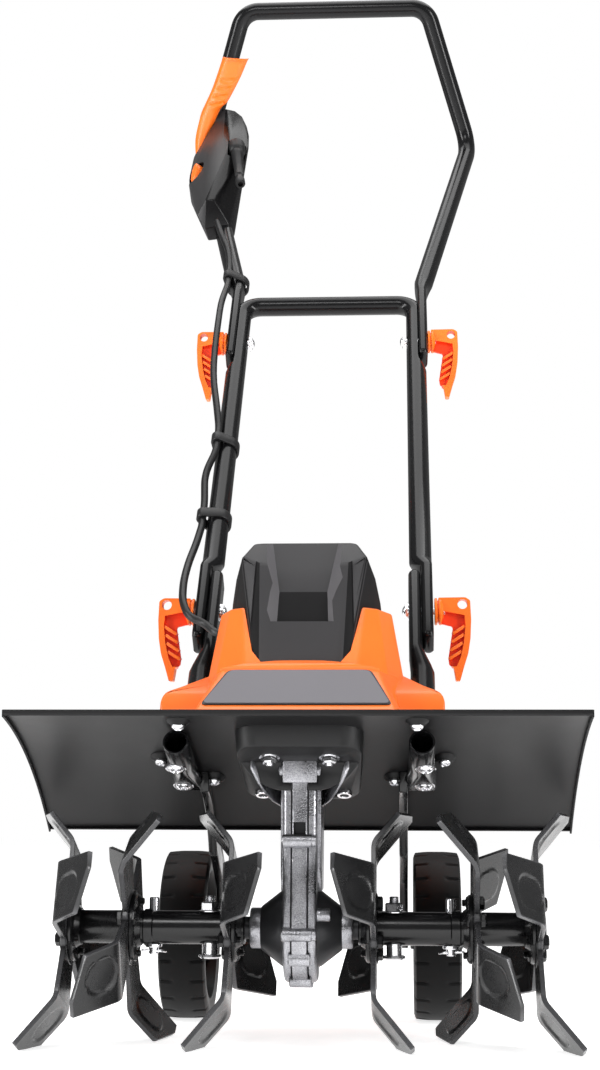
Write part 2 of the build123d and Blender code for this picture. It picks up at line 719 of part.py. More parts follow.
# out from the collar and up from the bolt: the arm with its tool hole, then the curved grip
lever_arm = ((0, 12.6), (25.5, 12.9), (30.6, 9.5), (30.6, -8))
lever_grip = ((30.6, -8), (29.6, -28), (25.4, -48), (20, -66))
lever_inside = ((20, -66), (16, -66), (14.1, -53), (9.9, -50), (9.2, -44), (13.7, -14.6), (0, -11.8), (0, 12.6))
pocket_line = ((1.2, 0.5), (24.4, -4), (25.2, -14), (23.6, -30), (20.2, -44), (16.7, -52.5), (12, -48),
               (16.2, -14), (1.2, -9))
rib_count = 4


def cam_lever(joint_s, collar_x):
    """A right-hand cam lever: a flanged collar round the bolt, and a holed grip with ribbed pockets."""
    pivot = leg_point(0, joint_s)
    front = Plane(origin=(collar_x + 3.6, pivot.Y, pivot.Z), x_dir=(1, 0, 0), z_dir=(0, -1, 0))
    with BuildPart() as lever:
        with BuildSketch(front):
            with BuildLine():
                Polyline(*lever_arm)
                Spline(*lever_grip)
                Polyline(*lever_inside)
            make_face()
            with Locations((22.7, 6.0)):
                Circle(4.6, mode=Mode.SUBTRACT)
        extrude(amount=lever_half, both=True)
        for face in (-1, 1):
            with BuildSketch(front.offset(face * lever_web)):
                with BuildLine():
                    Polyline(*pocket_line, close=True)
                make_face()
                for i in range(rib_count):
                    with Locations(Location((19.2 - 1.15 * i, -18 - 8 * i), 32)):
                        Rectangle(18, 2.6, mode=Mode.SUBTRACT)
            extrude(amount=face * (lever_half + 1), mode=Mode.SUBTRACT)
        with BuildSketch(Plane.XY):
            with BuildLine():
                Polyline((bolt_radius, 0), (13, 0), (13, 2.6), (10.4, 2.6), (10.4, 3.6), (13, 3.6), (13, 6.2),
                         (8, 8.4), (bolt_radius, 8.4), close=True)
            make_face()
        collar = revolve(axis=Axis.Y, mode=Mode.PRIVATE)
        add(collar.rotate(Axis.Z, -90).moved(Location((collar_x, pivot.Y, pivot.Z))))
        with Locations(Location((100, pivot.Y, pivot.Z), (0, 90, 0))):
            Cylinder(bolt_radius, 2 * (bolt_end_x - 100), mode=Mode.SUBTRACT)
    return lever.part


for joint_name, joint_s, collar_x in clamp_table:
    pivot = leg_point(0, joint_s)
    with BuildPart() as bolt:
        with Locations(Location(((nut_x + bolt_end_x) / 2, pivot.Y, pivot.Z), (0, 90, 0))):
            Cylinder(bolt_radius, bolt_end_x - nut_x)
        with BuildSketch(side_plane(nut_x)):
            with Locations((pivot.Y, pivot.Z)):
                RegularPolygon(7.5, 6)
        extrude(amount=7)
    lever_right = cam_lever(joint_s, collar_x)
    save(f"{joint_name}_clamp_bolt_right", bolt.part)
    save(f"{joint_name}_clamp_bolt_left", bolt.part.mirror(Plane.YZ))
    save(f"{joint_name}_cam_lever_right", lever_right)
    save(f"{joint_name}_cam_lever_left", lever_right.mirror(Plane.YZ))

# ------------------------------------------------------------------ switch box on the left grip
# s of each section up the leg, then x and n of its corners: back, left, ridge, front, right, back again
box_sections = (
    (697.0, (-160, -13), (-165, 10), (-158, 27), (-148, 29), (-126, 15), (-122, -13)),
    (745.0, (-170, -13), (-177, 14), (-155, 41), (-144, 42), (-126, 27), (-123, -13)),
    (830.0, (-186, -13), (-190, 12), (-147, 50), (-136, 52), (-112, 42), (-131, -13)),
    (885.0, (-190, -13), (-189, 10), (-153, 51), (-140, 51), (-113.5, 38), (-137, -13)),
    (915.0, (-187, -6), (-187, 14), (-157, 50), (-145, 51), (-124, 42), (-138, -6)),
    (952.0, (-180, 26), (-180, 30), (-161, 46), (-150, 49), (-136, 46), (-142, 26)),
)
plug_high, plug_low = leg_point(-126, 832, 44), leg_point(-113, 726, 51)
button_seat = leg_point(-181.5, 822, 19)
button_out = Vector(-0.86, -0.42, 0.28).normalized()
with BuildPart() as switch_box:
    for box_s, *corners in box_sections:
        with BuildSketch(across_leg(0, box_s)):
            with BuildLine():
                Polyline(*[(x, -n) for x, n in corners], close=True)
            make_face()
    loft(ruled=True)
    plug_dir = (plug_low - plug_high).normalized()
    with BuildSketch(Plane(origin=plug_high, z_dir=plug_dir)):
        Circle(11)
    extrude(amount=18)
    with BuildSketch(Plane(origin=plug_high, z_dir=plug_dir)):
        Circle(7)
    extrude(amount=(plug_low - plug_high).length)
    with BuildSketch(Plane(origin=button_seat, z_dir=button_out)):
        Circle(14)
    extrude(amount=20, mode=Mode.SUBTRACT)
    add(upper_form(handle_tube + 0.05, 0), mode=Mode.SUBTRACT)
box_body = switch_box.part.solids().sort_by(SortBy.VOLUME)[-1]
save("switch_box", Part(box_body.wrapped))

with BuildPart() as safety_button:
    with BuildSketch(Plane(origin=button_seat, z_dir=button_out)):
        Ellipse(8.5, 10.5)
    extrude(amount=3.4)
    fillet(safety_button.faces().sort_by(Axis(tuple(button_seat), tuple(button_out)))[-1].edges(), 1.6)
    add(switch_box.part, mode=Mode.SUBTRACT)
save("safety_button", safety_button.part)

# the bail lever's left and right edge, going up from inside the switch box to the turned lip
bail_thick = 3.2
bail_rows = (
    ((-184, 778, 1046), (-176, 774, 1047)),
    ((-188, 775, 1074), (-167, 768, 1076)),
    ((-182, 766, 1096), (-157, 757, 1099)),
    ((-165, 746, 1128), (-136, 740, 1126)),
    ((-150, 727, 1156), (-117, 725, 1154)),
)
with BuildPart() as bail_lever:
    for left, right in bail_rows:
        left_edge, right_edge = Vector(*left), Vector(*right)
        width_dir = (right_edge - left_edge).normalized()
        back_dir = Vector(0, 0.85, 0.52)
        with BuildSketch(Plane(origin=(left_edge + right_edge) / 2 + back_dir * bail_thick / 2, x_dir=width_dir,
                               z_dir=width_dir.cross(back_dir))):
            Rectangle((right_edge - left_edge).length, bail_thick)
    loft()
    add(switch_box.part, mode=Mode.SUBTRACT)
bail_body = bail_lever.part.solids().sort_by(SortBy.VOLUME)[-1]
save("bail_lever", Part(bail_body.wrapped))

# ------------------------------------------------------------------ the lead and its clips
lead_radius = 3.75
lead_gap = 0.3  # between two stretches of lead that part at a folding joint
# name, s, x and n of the lead in the clip, x of the tube, where the clip sits
clip_length = 18.0
clip_table = (
    ("lead_clip_low", 135.0, -116.6, 8.0, -leg_x),
    ("lead_clip_middle", 256.0, -110.6, 13.0, -leg_x),
    ("lead_clip_high", 578.0, -121.0, 14.0, -110.5),
)
for clip_name, clip_s, clip_x, clip_n, tube_x in clip_table:
    with BuildPart() as clip:
        with BuildSketch(across_leg(0, clip_s - clip_length / 2)):
            with Locations((tube_x, 0)):
                Circle(handle_tube + 2.2)
            with Locations((clip_x, -clip_n)):
                Circle(lead_radius + 2.4)
        extrude(amount=clip_length)
        with BuildSketch(across_leg(0, clip_s - clip_length)):
            with Locations((clip_x, -clip_n)):
                Circle(lead_radius)
        extrude(amount=2 * clip_length, mode=Mode.SUBTRACT)
        if clip_name == "lead_clip_high":
            add(upper_form(handle_tube, 0), mode=Mode.SUBTRACT)
        else:
            with BuildSketch(across_leg(tube_x, clip_s - clip_length)):
                Circle(handle_tube)
            extrude(amount=2 * clip_length, mode=Mode.SUBTRACT)
    clip_body = clip.part.solids().sort_by(SortBy.VOLUME)[-1]
    save(clip_name, Part(clip_body.wrapped))


def lead_stretch(name, points, held):
    """A stretch of lead as straight runs and tangent arcs, each arc as large as its two runs allow. held
    gives the runs that lie in a clip, with the length that stays straight at each of their ends."""
    points = [Vector(p) for p in points]
    runs = [(end - start).length for start, end in zip(points, points[1:])]
    room = [held[i] if i in held else 0.45 * run for i, run in enumerate(runs)]
    radii = []
    for i, (before, corner, after) in enumerate(zip(points, points[1:], points[2:])):
        turn = (corner - before).get_angle(after - corner)
        radii.append(min(room[i], room[i + 1]) / tan(radians(turn) / 2))
    with BuildPart() as lead:
        with BuildLine() as path:
            route = FilletPolyline(*points, radius=radii)
        with BuildSketch(Plane(origin=path.line @ 0, z_dir=path.line % 0)):
            Circle(lead_radius)
        sweep()
    expected = pi * lead_radius**2 * route.length
    print(name, "radii", [round(r) for r in radii], "volume", round(lead.part.volume / expected, 4))
    save(name, lead.part)
    return route.length


clip_low, clip_middle, clip_high = clip_table
low_end_s = clip_low[1] - clip_length / 2
high_end_s = clip_high[1] - clip_length / 2 - lead_gap
gland_x = -66.2
entry = (gland_x, 142.0, 346.0)
lead_length = lead_stretch("lead_lower", (
    entry,
    (-86.0, entry[1], entry[2]),
    leg_point(-100, -42, 25),
    leg_point(-115, -34, 26),
    leg_point(-123, -12, 25),
    leg_point(-125, 18, 22),
    leg_point(-124, 54, 15),
    leg_point(-119.5, 90, 9.5),
    leg_point(clip_low[2], low_end_s - 8, clip_low[3]),
    leg_point(clip_low[2], low_end_s - lead_gap, clip_low[3]),
), {})
lead_length += lead_stretch("lead_middle", (
    leg_point(clip_low[2], low_end_s, clip_low[3]),
    leg_point(clip_low[2], clip_low[1] + 20, clip_low[3]),
    leg_point(-120, 200, 10),
    leg_point(clip_middle[2], clip_middle[1] - 20, clip_middle[3]),
    leg_point(clip_middle[2], clip_middle[1] + 20, clip_middle[3]),
    leg_point(-115, 310, 16),
    leg_point(-123, 362, 18),
    leg_point(-125, 414, 20),
    leg_point(-125, 466, 21),
    leg_point(-125, 514, 19),
    leg_point(clip_high[2], high_end_s - 12, clip_high[3]),
    leg_point(clip_high[2], high_end_s, clip_high[3]),
), {0: 10, 3: 10})
lead_length += lead_stretch("lead_upper", (
    leg_point(clip_high[2], high_end_s + lead_gap, clip_high[3]),
    leg_point(clip_high[2], clip_high[1] + 20, clip_high[3]),
    leg_point(-125, 632, 17),
    leg_point(-135, 662, 20),
    leg_point(-143.5, box_sections[0][0] - 1.0, 20),
), {0: 10})
print("lead length", round(lead_length))
with BuildPart() as lead_gland:
    with Locations(Location((gland_x - 4, entry[1], entry[2]), (0, 90, 0))):
        Cylinder(7, 8)
        Cylinder(lead_radius, 8, mode=Mode.SUBTRACT)
save("lead_gland", lead_gland.part)

# ------------------------------------------------------------------ nose panel
nose_low, nose_high = Vector(0, -97, 267.4), Vector(0, -46, 299)
nose_dir = (nose_high - nose_low).normalized()
nose_length = (nose_high - nose_low).length
with BuildPart() as nose_panel:
    with BuildSketch(Plane(origin=nose_low, x_dir=(1, 0, 0), z_dir=Vector(1, 0, 0).cross(nose_dir))):
        with BuildLine():
            FilletPolyline((-73, 2), (73, 2), (56, nose_length - 3), (-56, nose_length - 3), radius=4,
                           close=True)
        make_face()
    extrude(amount=1.6)
    add(housing.part, mode=Mode.SUBTRACT)
save("nose_panel", nose_panel.part)
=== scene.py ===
"""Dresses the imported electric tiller: its painted, cast, moulded and plated surfaces, modelled piece by
piece around the fixed solids.

Pieces are drawn in millimetres in the solids' own drawing frame: X is the width, -Y the tine side, Z up,
and y = 0 over the tine shaft. One matrix then sets them in the row's frame, in metres."""
import json
from math import atan2, cos, pi, radians, sin, sqrt, tan

import bmesh
import bpy
from mathutils import Matrix, Vector


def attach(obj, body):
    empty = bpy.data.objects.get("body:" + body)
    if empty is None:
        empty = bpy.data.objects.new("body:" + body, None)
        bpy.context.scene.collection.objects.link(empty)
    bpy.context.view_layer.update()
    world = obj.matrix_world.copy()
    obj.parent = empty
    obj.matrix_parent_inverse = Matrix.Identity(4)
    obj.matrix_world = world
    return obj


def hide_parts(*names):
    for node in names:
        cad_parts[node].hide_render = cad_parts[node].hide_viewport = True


bl_info = {
    "name": "Electric tiller",
    "version": (1, 0, 0),
    "blender": (4, 5, 0),
    "location": "3D View > Sidebar > Tiller",
    "description": "Builds the electric tiller's visible pieces and its studio round the packed solids",
    "category": "Object",
}

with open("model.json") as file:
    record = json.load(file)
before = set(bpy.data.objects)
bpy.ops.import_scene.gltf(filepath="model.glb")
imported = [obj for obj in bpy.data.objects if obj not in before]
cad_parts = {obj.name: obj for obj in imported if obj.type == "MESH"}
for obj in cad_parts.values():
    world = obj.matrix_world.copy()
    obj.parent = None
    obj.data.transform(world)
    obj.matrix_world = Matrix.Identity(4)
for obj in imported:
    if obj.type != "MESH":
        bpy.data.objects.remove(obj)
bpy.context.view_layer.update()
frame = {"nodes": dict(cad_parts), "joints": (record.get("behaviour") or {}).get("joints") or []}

# ------------------------------------------------------------------ the solids' own places
hinges = {joint["name"]: Vector(joint["pos_m"]) * 1000 for joint in frame["joints"]}
shaft_height = hinges["tine_spin"].z
shaft_middle = (0, 0, shaft_height)
middle_y = -hinges["tine_spin"].y
wheel_x = hinges["wheel_right_spin"].x
wheel_y, wheel_z = hinges["wheel_right_spin"].y + middle_y, hinges["wheel_right_spin"].z
leg_origin = Vector((0, 203.0, 373.6))
to_row = Matrix.Scale(0.001, 4) @ Matrix.Translation((0, -middle_y, 0))

SIDES = (("left", -1), ("right", 1))
tube_radius = 13.5
tine_plate = 4.0
star_phase = 22.5
handle_tube = 11.0
leg_x = 101.5
leg_angle = radians(49)
slope, rise = cos(leg_angle), sin(leg_angle)
leg_up = Vector((0, slope, rise))
leg_front = Vector((0, -rise, slope))
pivots = {
    joint: hinges[f"{joint}_fold"] + Vector((0, middle_y, 0)) for joint in ("lower", "upper")
}
pivot_s = {joint: (place - leg_origin).dot(leg_up) for joint, place in pivots.items()}


def leg_point(x, s, n=0.0):
    """A point x across, s up the legs from the lower bolt and n in front of their plane."""
    return leg_origin + Vector((x, 0, 0)) + leg_up * s + leg_front * n


# ------------------------------------------------------------------ drawing tools
def mesh_of(name, bm):
    """A bmesh as a mesh; the bmesh is used up."""
    mesh = bpy.data.meshes.new(name)
    bm.to_mesh(mesh)
    bm.free()
    return mesh


def placed(name, data):
    """A new object in the scene."""
    obj = bpy.data.objects.new(name, data)
    bpy.context.scene.collection.objects.link(obj)
    return obj


def drop_object(obj):
    """Remove a helper object and its mesh."""
    mesh = obj.data
    bpy.data.objects.remove(obj)
    bpy.data.meshes.remove(mesh)


def combined(bm, other, operation):
    """bm joined with, cut by or kept only inside another closed form; both are used up."""
    for form in (bm, other):
        bmesh.ops.recalc_face_normals(form, faces=form.faces)
    base, tool = (placed("helper", mesh_of("helper", form)) for form in (bm, other))
    modifier = base.modifiers.new("combine", "BOOLEAN")
    modifier.object = tool
    modifier.operation = operation
    modifier.solver = "MANIFOLD"
    result = bmesh.new()
    result.from_object(base, bpy.context.evaluated_depsgraph_get())
    drop_object(base)
    drop_object(tool)
    if not result.faces:
        raise RuntimeError(f"nothing is left of a form after {operation}")
    return result


def joined(*forms):
    """Closed forms merged into one."""
    whole = forms[0]
    for form in forms[1:]:
        whole = combined(whole, form, "UNION")
    return whole


def carved(bm, *tools):
    """A closed form with each of the others taken out of it."""
    for tool in tools:
        bm = combined(bm, tool, "DIFFERENCE")
    return bm


def gather(bm, *forms):
    """Put closed forms that only touch into one bmesh, as shells of their own."""
    for form in forms:
        mesh = mesh_of("helper", form)
        bm.from_mesh(mesh)
        bpy.data.meshes.remove(mesh)
    return bm


def bevelled(bm, edges, width, segments=2):
    """Round the given edges."""
    bmesh.ops.bevel(bm, geom=edges, offset=width, segments=segments, profile=0.5, affect="EDGES")
    return bm


def eased(bm, width, segments=2, angle=30):
    """Round every edge that turns by more than angle, in degrees."""
    bmesh.ops.remove_doubles(bm, verts=bm.verts, dist=0.002)
    bmesh.ops.dissolve_limit(bm, angle_limit=radians(0.6), verts=bm.verts, edges=bm.edges)
    sharp = [edge for edge in bm.edges
             if len(edge.link_faces) == 2 and edge.calc_face_angle(0) > radians(angle)]
    return bevelled(bm, sharp, width, segments)


def skin(loops, ring=False):
    """A closed surface through loops of as many points each; ring joins the last to the first, and
    otherwise both ends are capped."""
    bm = bmesh.new()
    rows = [[bm.verts.new(point) for point in loop] for loop in loops]
    pairs = list(zip(rows, rows[1:])) + ([(rows[-1], rows[0])] if ring else [])
    for low, high in pairs:
        for i in range(len(low)):
            j = (i + 1) % len(low)
            bm.faces.new((low[i], low[j], high[j], high[i]))
    if not ring:
        bm.faces.new(rows[0][::-1])
        bm.faces.new(rows[-1])
    return bm


def turned(profile, origin, axis, segments=32, closed=False):
    """A turned form: profile lists (radius, distance along the axis)."""
    bm = bmesh.new()
    axis = Vector(axis).normalized()
    side = axis.orthogonal().normalized()
    other = axis.cross(side)
    rings = []
    for radius, along in profile:
        centre = Vector(origin) + axis * along
        count = segments if radius > 1e-6 else 1
        rings.append([
            bm.verts.new(centre + (side * cos(2 * pi * i / count) + other * sin(2 * pi * i / count)) * radius)
            for i in range(count)
        ])
    pairs = list(zip(rings, rings[1:])) + ([(rings[-1], rings[0])] if closed else [])
    for low, high in pairs:
        for i in range(segments):
            j = (i + 1) % segments
            quad = dict.fromkeys((low[i % len(low)], low[j % len(low)], high[j % len(high)],
                                  high[i % len(high)]))
            if len(quad) > 2:
                bm.faces.new(tuple(quad))
    return bm


def cylinder(radius, start, end, origin, axis, segments=32):
    """A plain round rod from start to end along its axis."""
    return turned([(0, start), (radius, start), (radius, end), (0, end)], origin, axis, segments)


def prism(outline, origin, x_dir, y_dir, depth):
    """A flat outline drawn in the plane of x_dir and y_dir, as thick as depth along their normal."""
    x_dir, y_dir = Vector(x_dir), Vector(y_dir)
    normal = x_dir.cross(y_dir).normalized()
    low = [Vector(origin) + x_dir * x + y_dir * y for x, y in outline]
    return skin([low, [point + normal * depth for point in low]])


def front_prism(outline, y, depth, z=0):
    """An outline of (x, z) as a plate that reaches depth forwards from y; z raises it."""
    return prism(outline, (0, y, z), (1, 0, 0), (0, 0, 1), depth)


def side_prism(outline, half):
    """An outline of (y, z) as a plate that reaches half each way from the middle."""
    return prism(outline, (-half, 0, 0), (0, 1, 0), (0, 0, 1), 2 * half)


def both_sides(half):
    """A symmetrical outline from its right half."""
    return [*half, *[(-x, y) for x, y in reversed(half)]]


def arc_points(before, corner, after, radius, step):
    """The points of an arc of radius that rounds a corner."""
    back, ahead = (before - corner).normalized(), (after - corner).normalized()
    turn = pi - back.angle(ahead)
    if turn < 0.01:
        return [corner]
    centre = corner + (back + ahead).normalized() * radius / cos(turn / 2)
    first = corner + back * radius * tan(turn / 2) - centre
    last = corner + ahead * radius * tan(turn / 2) - centre
    steps = max(2, int(turn / step) + 1)
    return [
        centre + (first * sin(turn * (1 - i / steps)) + last * sin(turn * i / steps)) / sin(turn)
        for i in range(steps + 1)
    ]


def rounded_route(points, radii, step=radians(7)):
    """Straight runs joined by tangent arcs."""
    points = [Vector(point) for point in points]
    if not isinstance(radii, (list, tuple)):
        radii = [radii] * (len(points) - 2)
    route = [points[0]]
    for before, corner, after, radius in zip(points, points[1:], points[2:], radii):
        route += arc_points(before, corner, after, radius, step)
    return route + [points[-1]]


def rounded_outline(outline, radius):
    """A closed flat outline with every corner rounded."""
    count = len(outline)
    points = [Vector((x, y, 0)) for x, y in outline]
    radii = radius if isinstance(radius, (list, tuple)) else [radius] * count
    route = []
    for i in range(count):
        route += arc_points(points[i - 1], points[i], points[(i + 1) % count], radii[i], radians(18))
    return [(point.x, point.y) for point in route]


def section(half_x, half_y, radius, count=9):
    """A rounded rectangle about its middle; count points in each corner."""
    radius = min(radius, half_x - 0.01, half_y - 0.01)
    points = []
    for quarter in range(4):
        middle = ((half_x - radius) * (1, -1, -1, 1)[quarter], (half_y - radius) * (1, 1, -1, -1)[quarter])
        for i in range(count):
            turn = pi / 2 * (quarter + i / (count - 1))
            points.append((middle[0] + radius * cos(turn), middle[1] + radius * sin(turn)))
    return points


def swept(route, outlines, normal):
    """A form swept along a route; outlines is one section or a section for each point of the route."""
    normal = Vector(normal)
    loops = []
    for i, point in enumerate(route):
        ahead = (route[min(i + 1, len(route) - 1)] - route[max(i - 1, 0)]).normalized()
        normal = (normal - ahead * normal.dot(ahead)).normalized()
        side = ahead.cross(normal)
        outline = outlines[i] if isinstance(outlines[0][0], tuple) else outlines
        loops.append([point + side * x + normal * y for x, y in outline])
    return skin(loops)


def cut_off(bm, point, outward, **options):
    """Take away what lies beyond a plane; the edges of the opening that is left."""
    bmesh.ops.bisect_plane(bm, geom=bm.verts[:] + bm.edges[:] + bm.faces[:], plane_co=point,
                           plane_no=outward, clear_outer=True, **options)
    return [edge for edge in bm.edges if edge.is_boundary]


def flat_sided(planes):
    """The closed form kept behind every plane, each given as a point and an outward direction."""
    bm = bmesh.new()
    bmesh.ops.create_cube(bm, size=1400, matrix=Matrix.Translation((0, 0, 300)))
    for point, outward in planes:
        rim = cut_off(bm, Vector(point), Vector(outward).normalized(), dist=1e-5)
        if rim:
            bmesh.ops.contextual_create(bm, geom=rim)
    return bm


def outline_planes(outline, across):
    """The side planes of a prism: outline is convex, listed either way round, and across is the axis it
    is long in, 0 for X (points are y, z) or 1 for Y (points are x, z)."""
    middle = Vector((sum(p[0] for p in outline), sum(p[1] for p in outline))) / len(outline)
    lift = (lambda v: Vector((0, v[0], v[1]))) if across == 0 else (lambda v: Vector((v[0], 0, v[1])))
    planes = []
    for first, second in zip(outline, [*outline[1:], outline[0]]):
        run = Vector(second) - Vector(first)
        outward = Vector((run.y, -run.x))
        if outward.dot(Vector(first) - middle) < 0:
            outward.negate()
        planes.append((lift(first), lift(outward)))
    return planes


def mirrored(bm):
    """The other hand of a form."""
    bmesh.ops.scale(bm, vec=(-1, 1, 1), verts=bm.verts)
    bmesh.ops.reverse_faces(bm, faces=bm.faces)
    return bm


def moved(bm, matrix):
    """A form set in another place."""
    bmesh.ops.transform(bm, matrix=matrix, verts=bm.verts)
    return bm


def node_copy(node):
    """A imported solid's own mesh, in the drawing frame, welded into whole faces."""
    bm = bmesh.new()
    bm.from_mesh(frame["nodes"][node].data)
    moved(bm, to_row.inverted())
    bmesh.ops.remove_doubles(bm, verts=bm.verts, dist=0.01)
    bmesh.ops.dissolve_limit(bm, angle_limit=radians(1), verts=bm.verts, edges=bm.edges)
    return bm


weld_gap = 0.0005


def piece(name, bm, body, look, stands_for=(), smooth=32, patches=()):
    """Finish a piece: set it in the row's frame, shade it, give it its surface and its body. Each patch
    is a further surface and the test that says which faces take it; the first that fits wins."""
    bmesh.ops.remove_doubles(bm, verts=bm.verts, dist=weld_gap)
    bmesh.ops.dissolve_degenerate(bm, edges=bm.edges, dist=weld_gap)
    bmesh.ops.recalc_face_normals(bm, faces=bm.faces)
    for face in bm.faces:
        place, facing = face.calc_center_median(), face.normal
        fits = [i for i, (_, test) in enumerate(patches, 1) if test(place, facing)]
        face.material_index = fits[0] if fits else 0
    mesh = mesh_of(name, bm)
    mesh.transform(to_row)
    mesh.shade_smooth()
    mesh.set_sharp_from_angle(angle=radians(smooth))
    obj = placed(name, mesh)
    for used in (look, *[patch[0] for patch in patches]):
        mesh.materials.append(surfaces()[used])
    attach(obj, body)
    if stands_for:
        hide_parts(*stands_for)


def hex_bolt(origin, axis, across=13, height=5.5, flange=0, shank=0, shank_radius=4):
    """A hexagon head or nut sitting on origin and rising along axis, with an optional flange and a
    threaded end that stands shank beyond it."""
    radius = across / sqrt(3)
    forms = [turned([(0, flange), (radius, flange), (radius, flange + height - 1),
                     (radius - 1.3, flange + height), (0, flange + height)], origin, axis, 6)]
    if flange:
        forms.append(turned([(0, 0), (radius + 2.4, 0), (radius + 2.6, 0.7), (radius, flange + 0.2),
                             (0, flange + 0.2)], origin, axis, 28))
    if shank:
        thread = [(0, 0)]
        for turn in range(int(shank)):
            thread += [(shank_radius, flange + height + turn),
                       (shank_radius - 0.4, flange + height + turn + 0.5)]
        forms.append(turned([*thread, (shank_radius - 0.8, flange + height + int(shank)),
                             (0, flange + height + int(shank))], origin, axis, 20))
    return gather(bmesh.new(), *forms)


def button_screw(origin, axis, radius=6.5, height=3.6, washer=0.0):
    """A domed screw with a hexagon socket, and a washer under it where washer is its radius."""
    dome = [(0, height - 1.6), (2.4, height - 1.6), (2.9, height), (radius * 0.62, height * 0.93),
            (radius * 0.88, height * 0.62), (radius, height * 0.2), (radius, 0), (0, 0)]
    forms = [turned(dome, origin, axis, 24)]
    if washer:
        forms.append(turned([(0, -0.1), (washer, -0.1), (washer, 1.0), (washer - 0.4, 1.3), (0, 1.3)],
                            origin, axis, 28))
    return gather(bmesh.new(), *forms)


# ------------------------------------------------------------------ surfaces
def shader_nodes(name):
    """A new node material and its shader."""
    material = bpy.data.materials.new(name)
    material.use_nodes = True
    nodes = material.node_tree.nodes
    return material, nodes, material.node_tree.links, nodes["Principled BSDF"]


def set_inputs(node, **values):
    """Fix a node's inputs; an underscore stands for a space in a name."""
    for name, value in values.items():
        node.inputs[name.replace("_", " ")].default_value = value


def noise(nodes, links, place, scale, detail=3.0, rough=0.5):
    """A noise that lies still on the piece."""
    node = nodes.new("ShaderNodeTexNoise")
    set_inputs(node, Scale=scale, Detail=detail, Roughness=rough)
    links.new(place.outputs["Object"], node.inputs["Vector"])
    return node


def spread(nodes, links, source, low, high, start=0.3, end=0.7):
    """Map a noise from low to high."""
    node = nodes.new("ShaderNodeMapRange")
    set_inputs(node, From_Min=start, From_Max=end, To_Min=low, To_Max=high)
    links.new(source, node.inputs["Value"])
    return node.outputs["Result"]


def mixed(nodes, links, factor, first, second, blend_type="MIX"):
    """A mix of two colours, each a value or the output of another node."""
    node = nodes.new("ShaderNodeMix")
    node.data_type = "RGBA"
    node.blend_type = blend_type
    for name, colour in (("A", first), ("B", second)):
        if isinstance(colour, tuple):
            node.inputs[name].default_value = colour
        else:
            links.new(colour, node.inputs[name])
    links.new(factor, node.inputs["Factor"])
    return node.outputs["Result"]


def surface(name, colour, roughness, grain, relief, depth, patch, shade, rough_shift, metal=0.0, coat=0.0,
            coat_roughness=0.1, specular=0.3, edge_highlight=0.0, edge_highlight_colour=(0, 0, 0)):
    """A moulded, painted or metal surface: fine grain in relief, slow shifts of tone and gloss, and a
    lighter edge, a painted highlight, where edge_highlight is more than 0."""
    material, nodes, links, shader = shader_nodes(name)
    place = nodes.new("ShaderNodeTexCoord")
    fine = noise(nodes, links, place, grain, 2.0, 0.55)
    slow = noise(nodes, links, place, patch, 4.0, 0.6)
    darker = (*[c * (1 - shade) for c in colour], 1)
    lighter = (*[min(1.0, c * (1 + shade)) for c in colour], 1)
    tone = mixed(nodes, links, spread(nodes, links, slow.outputs["Fac"], 0, 1), darker, lighter)
    if edge_highlight:
        # painted highlight: the sharpest edges are lightened by pointiness in place of the glints along them
        edges = nodes.new("ShaderNodeNewGeometry")
        highlighted_edges = spread(nodes, links, edges.outputs["Pointiness"], 0, edge_highlight, 0.52, 0.6)
        tone = mixed(nodes, links, highlighted_edges, tone, (*edge_highlight_colour, 1))
    links.new(tone, shader.inputs["Base Color"])
    mottled = nodes.new("ShaderNodeMath")
    mottled.operation = "ADD"
    gloss = spread(nodes, links, slow.outputs["Fac"], roughness - rough_shift, roughness + rough_shift)
    links.new(gloss, mottled.inputs[0])
    links.new(spread(nodes, links, fine.outputs["Fac"], -0.03, 0.03), mottled.inputs[1])
    links.new(mottled.outputs["Value"], shader.inputs["Roughness"])
    bump = nodes.new("ShaderNodeBump")
    set_inputs(bump, Strength=relief, Distance=depth)
    links.new(fine.outputs["Fac"], bump.inputs["Height"])
    links.new(bump.outputs["Normal"], shader.inputs["Normal"])
    set_inputs(shader, Metallic=metal, Specular_IOR_Level=specular, Coat_Weight=coat,
               Coat_Roughness=coat_roughness)
    return material


def cast_surface():
    """Die-cast aluminium: a sandy skin with pale grains."""
    material = surface("cast aluminium", (0.5, 0.5, 0.52), 0.34, 650, 0.55, 0.0006, 40, 0.3, 0.1, metal=0.95)
    nodes, links = material.node_tree.nodes, material.node_tree.links
    shader, place = nodes["Principled BSDF"], nodes["Texture Coordinate"]
    grains = nodes.new("ShaderNodeTexVoronoi")
    set_inputs(grains, Scale=1500)
    links.new(place.outputs["Object"], grains.inputs["Vector"])
    sandy = spread(nodes, links, grains.outputs["Distance"], 0, 0.85, 0.2, 0.7)
    tone = shader.inputs["Base Color"].links[0].from_socket
    speckle = mixed(nodes, links, sandy, tone, (0.45, 0.45, 0.47, 1), "MULTIPLY")
    links.new(speckle, shader.inputs["Base Color"])
    return material


made_surfaces = {}


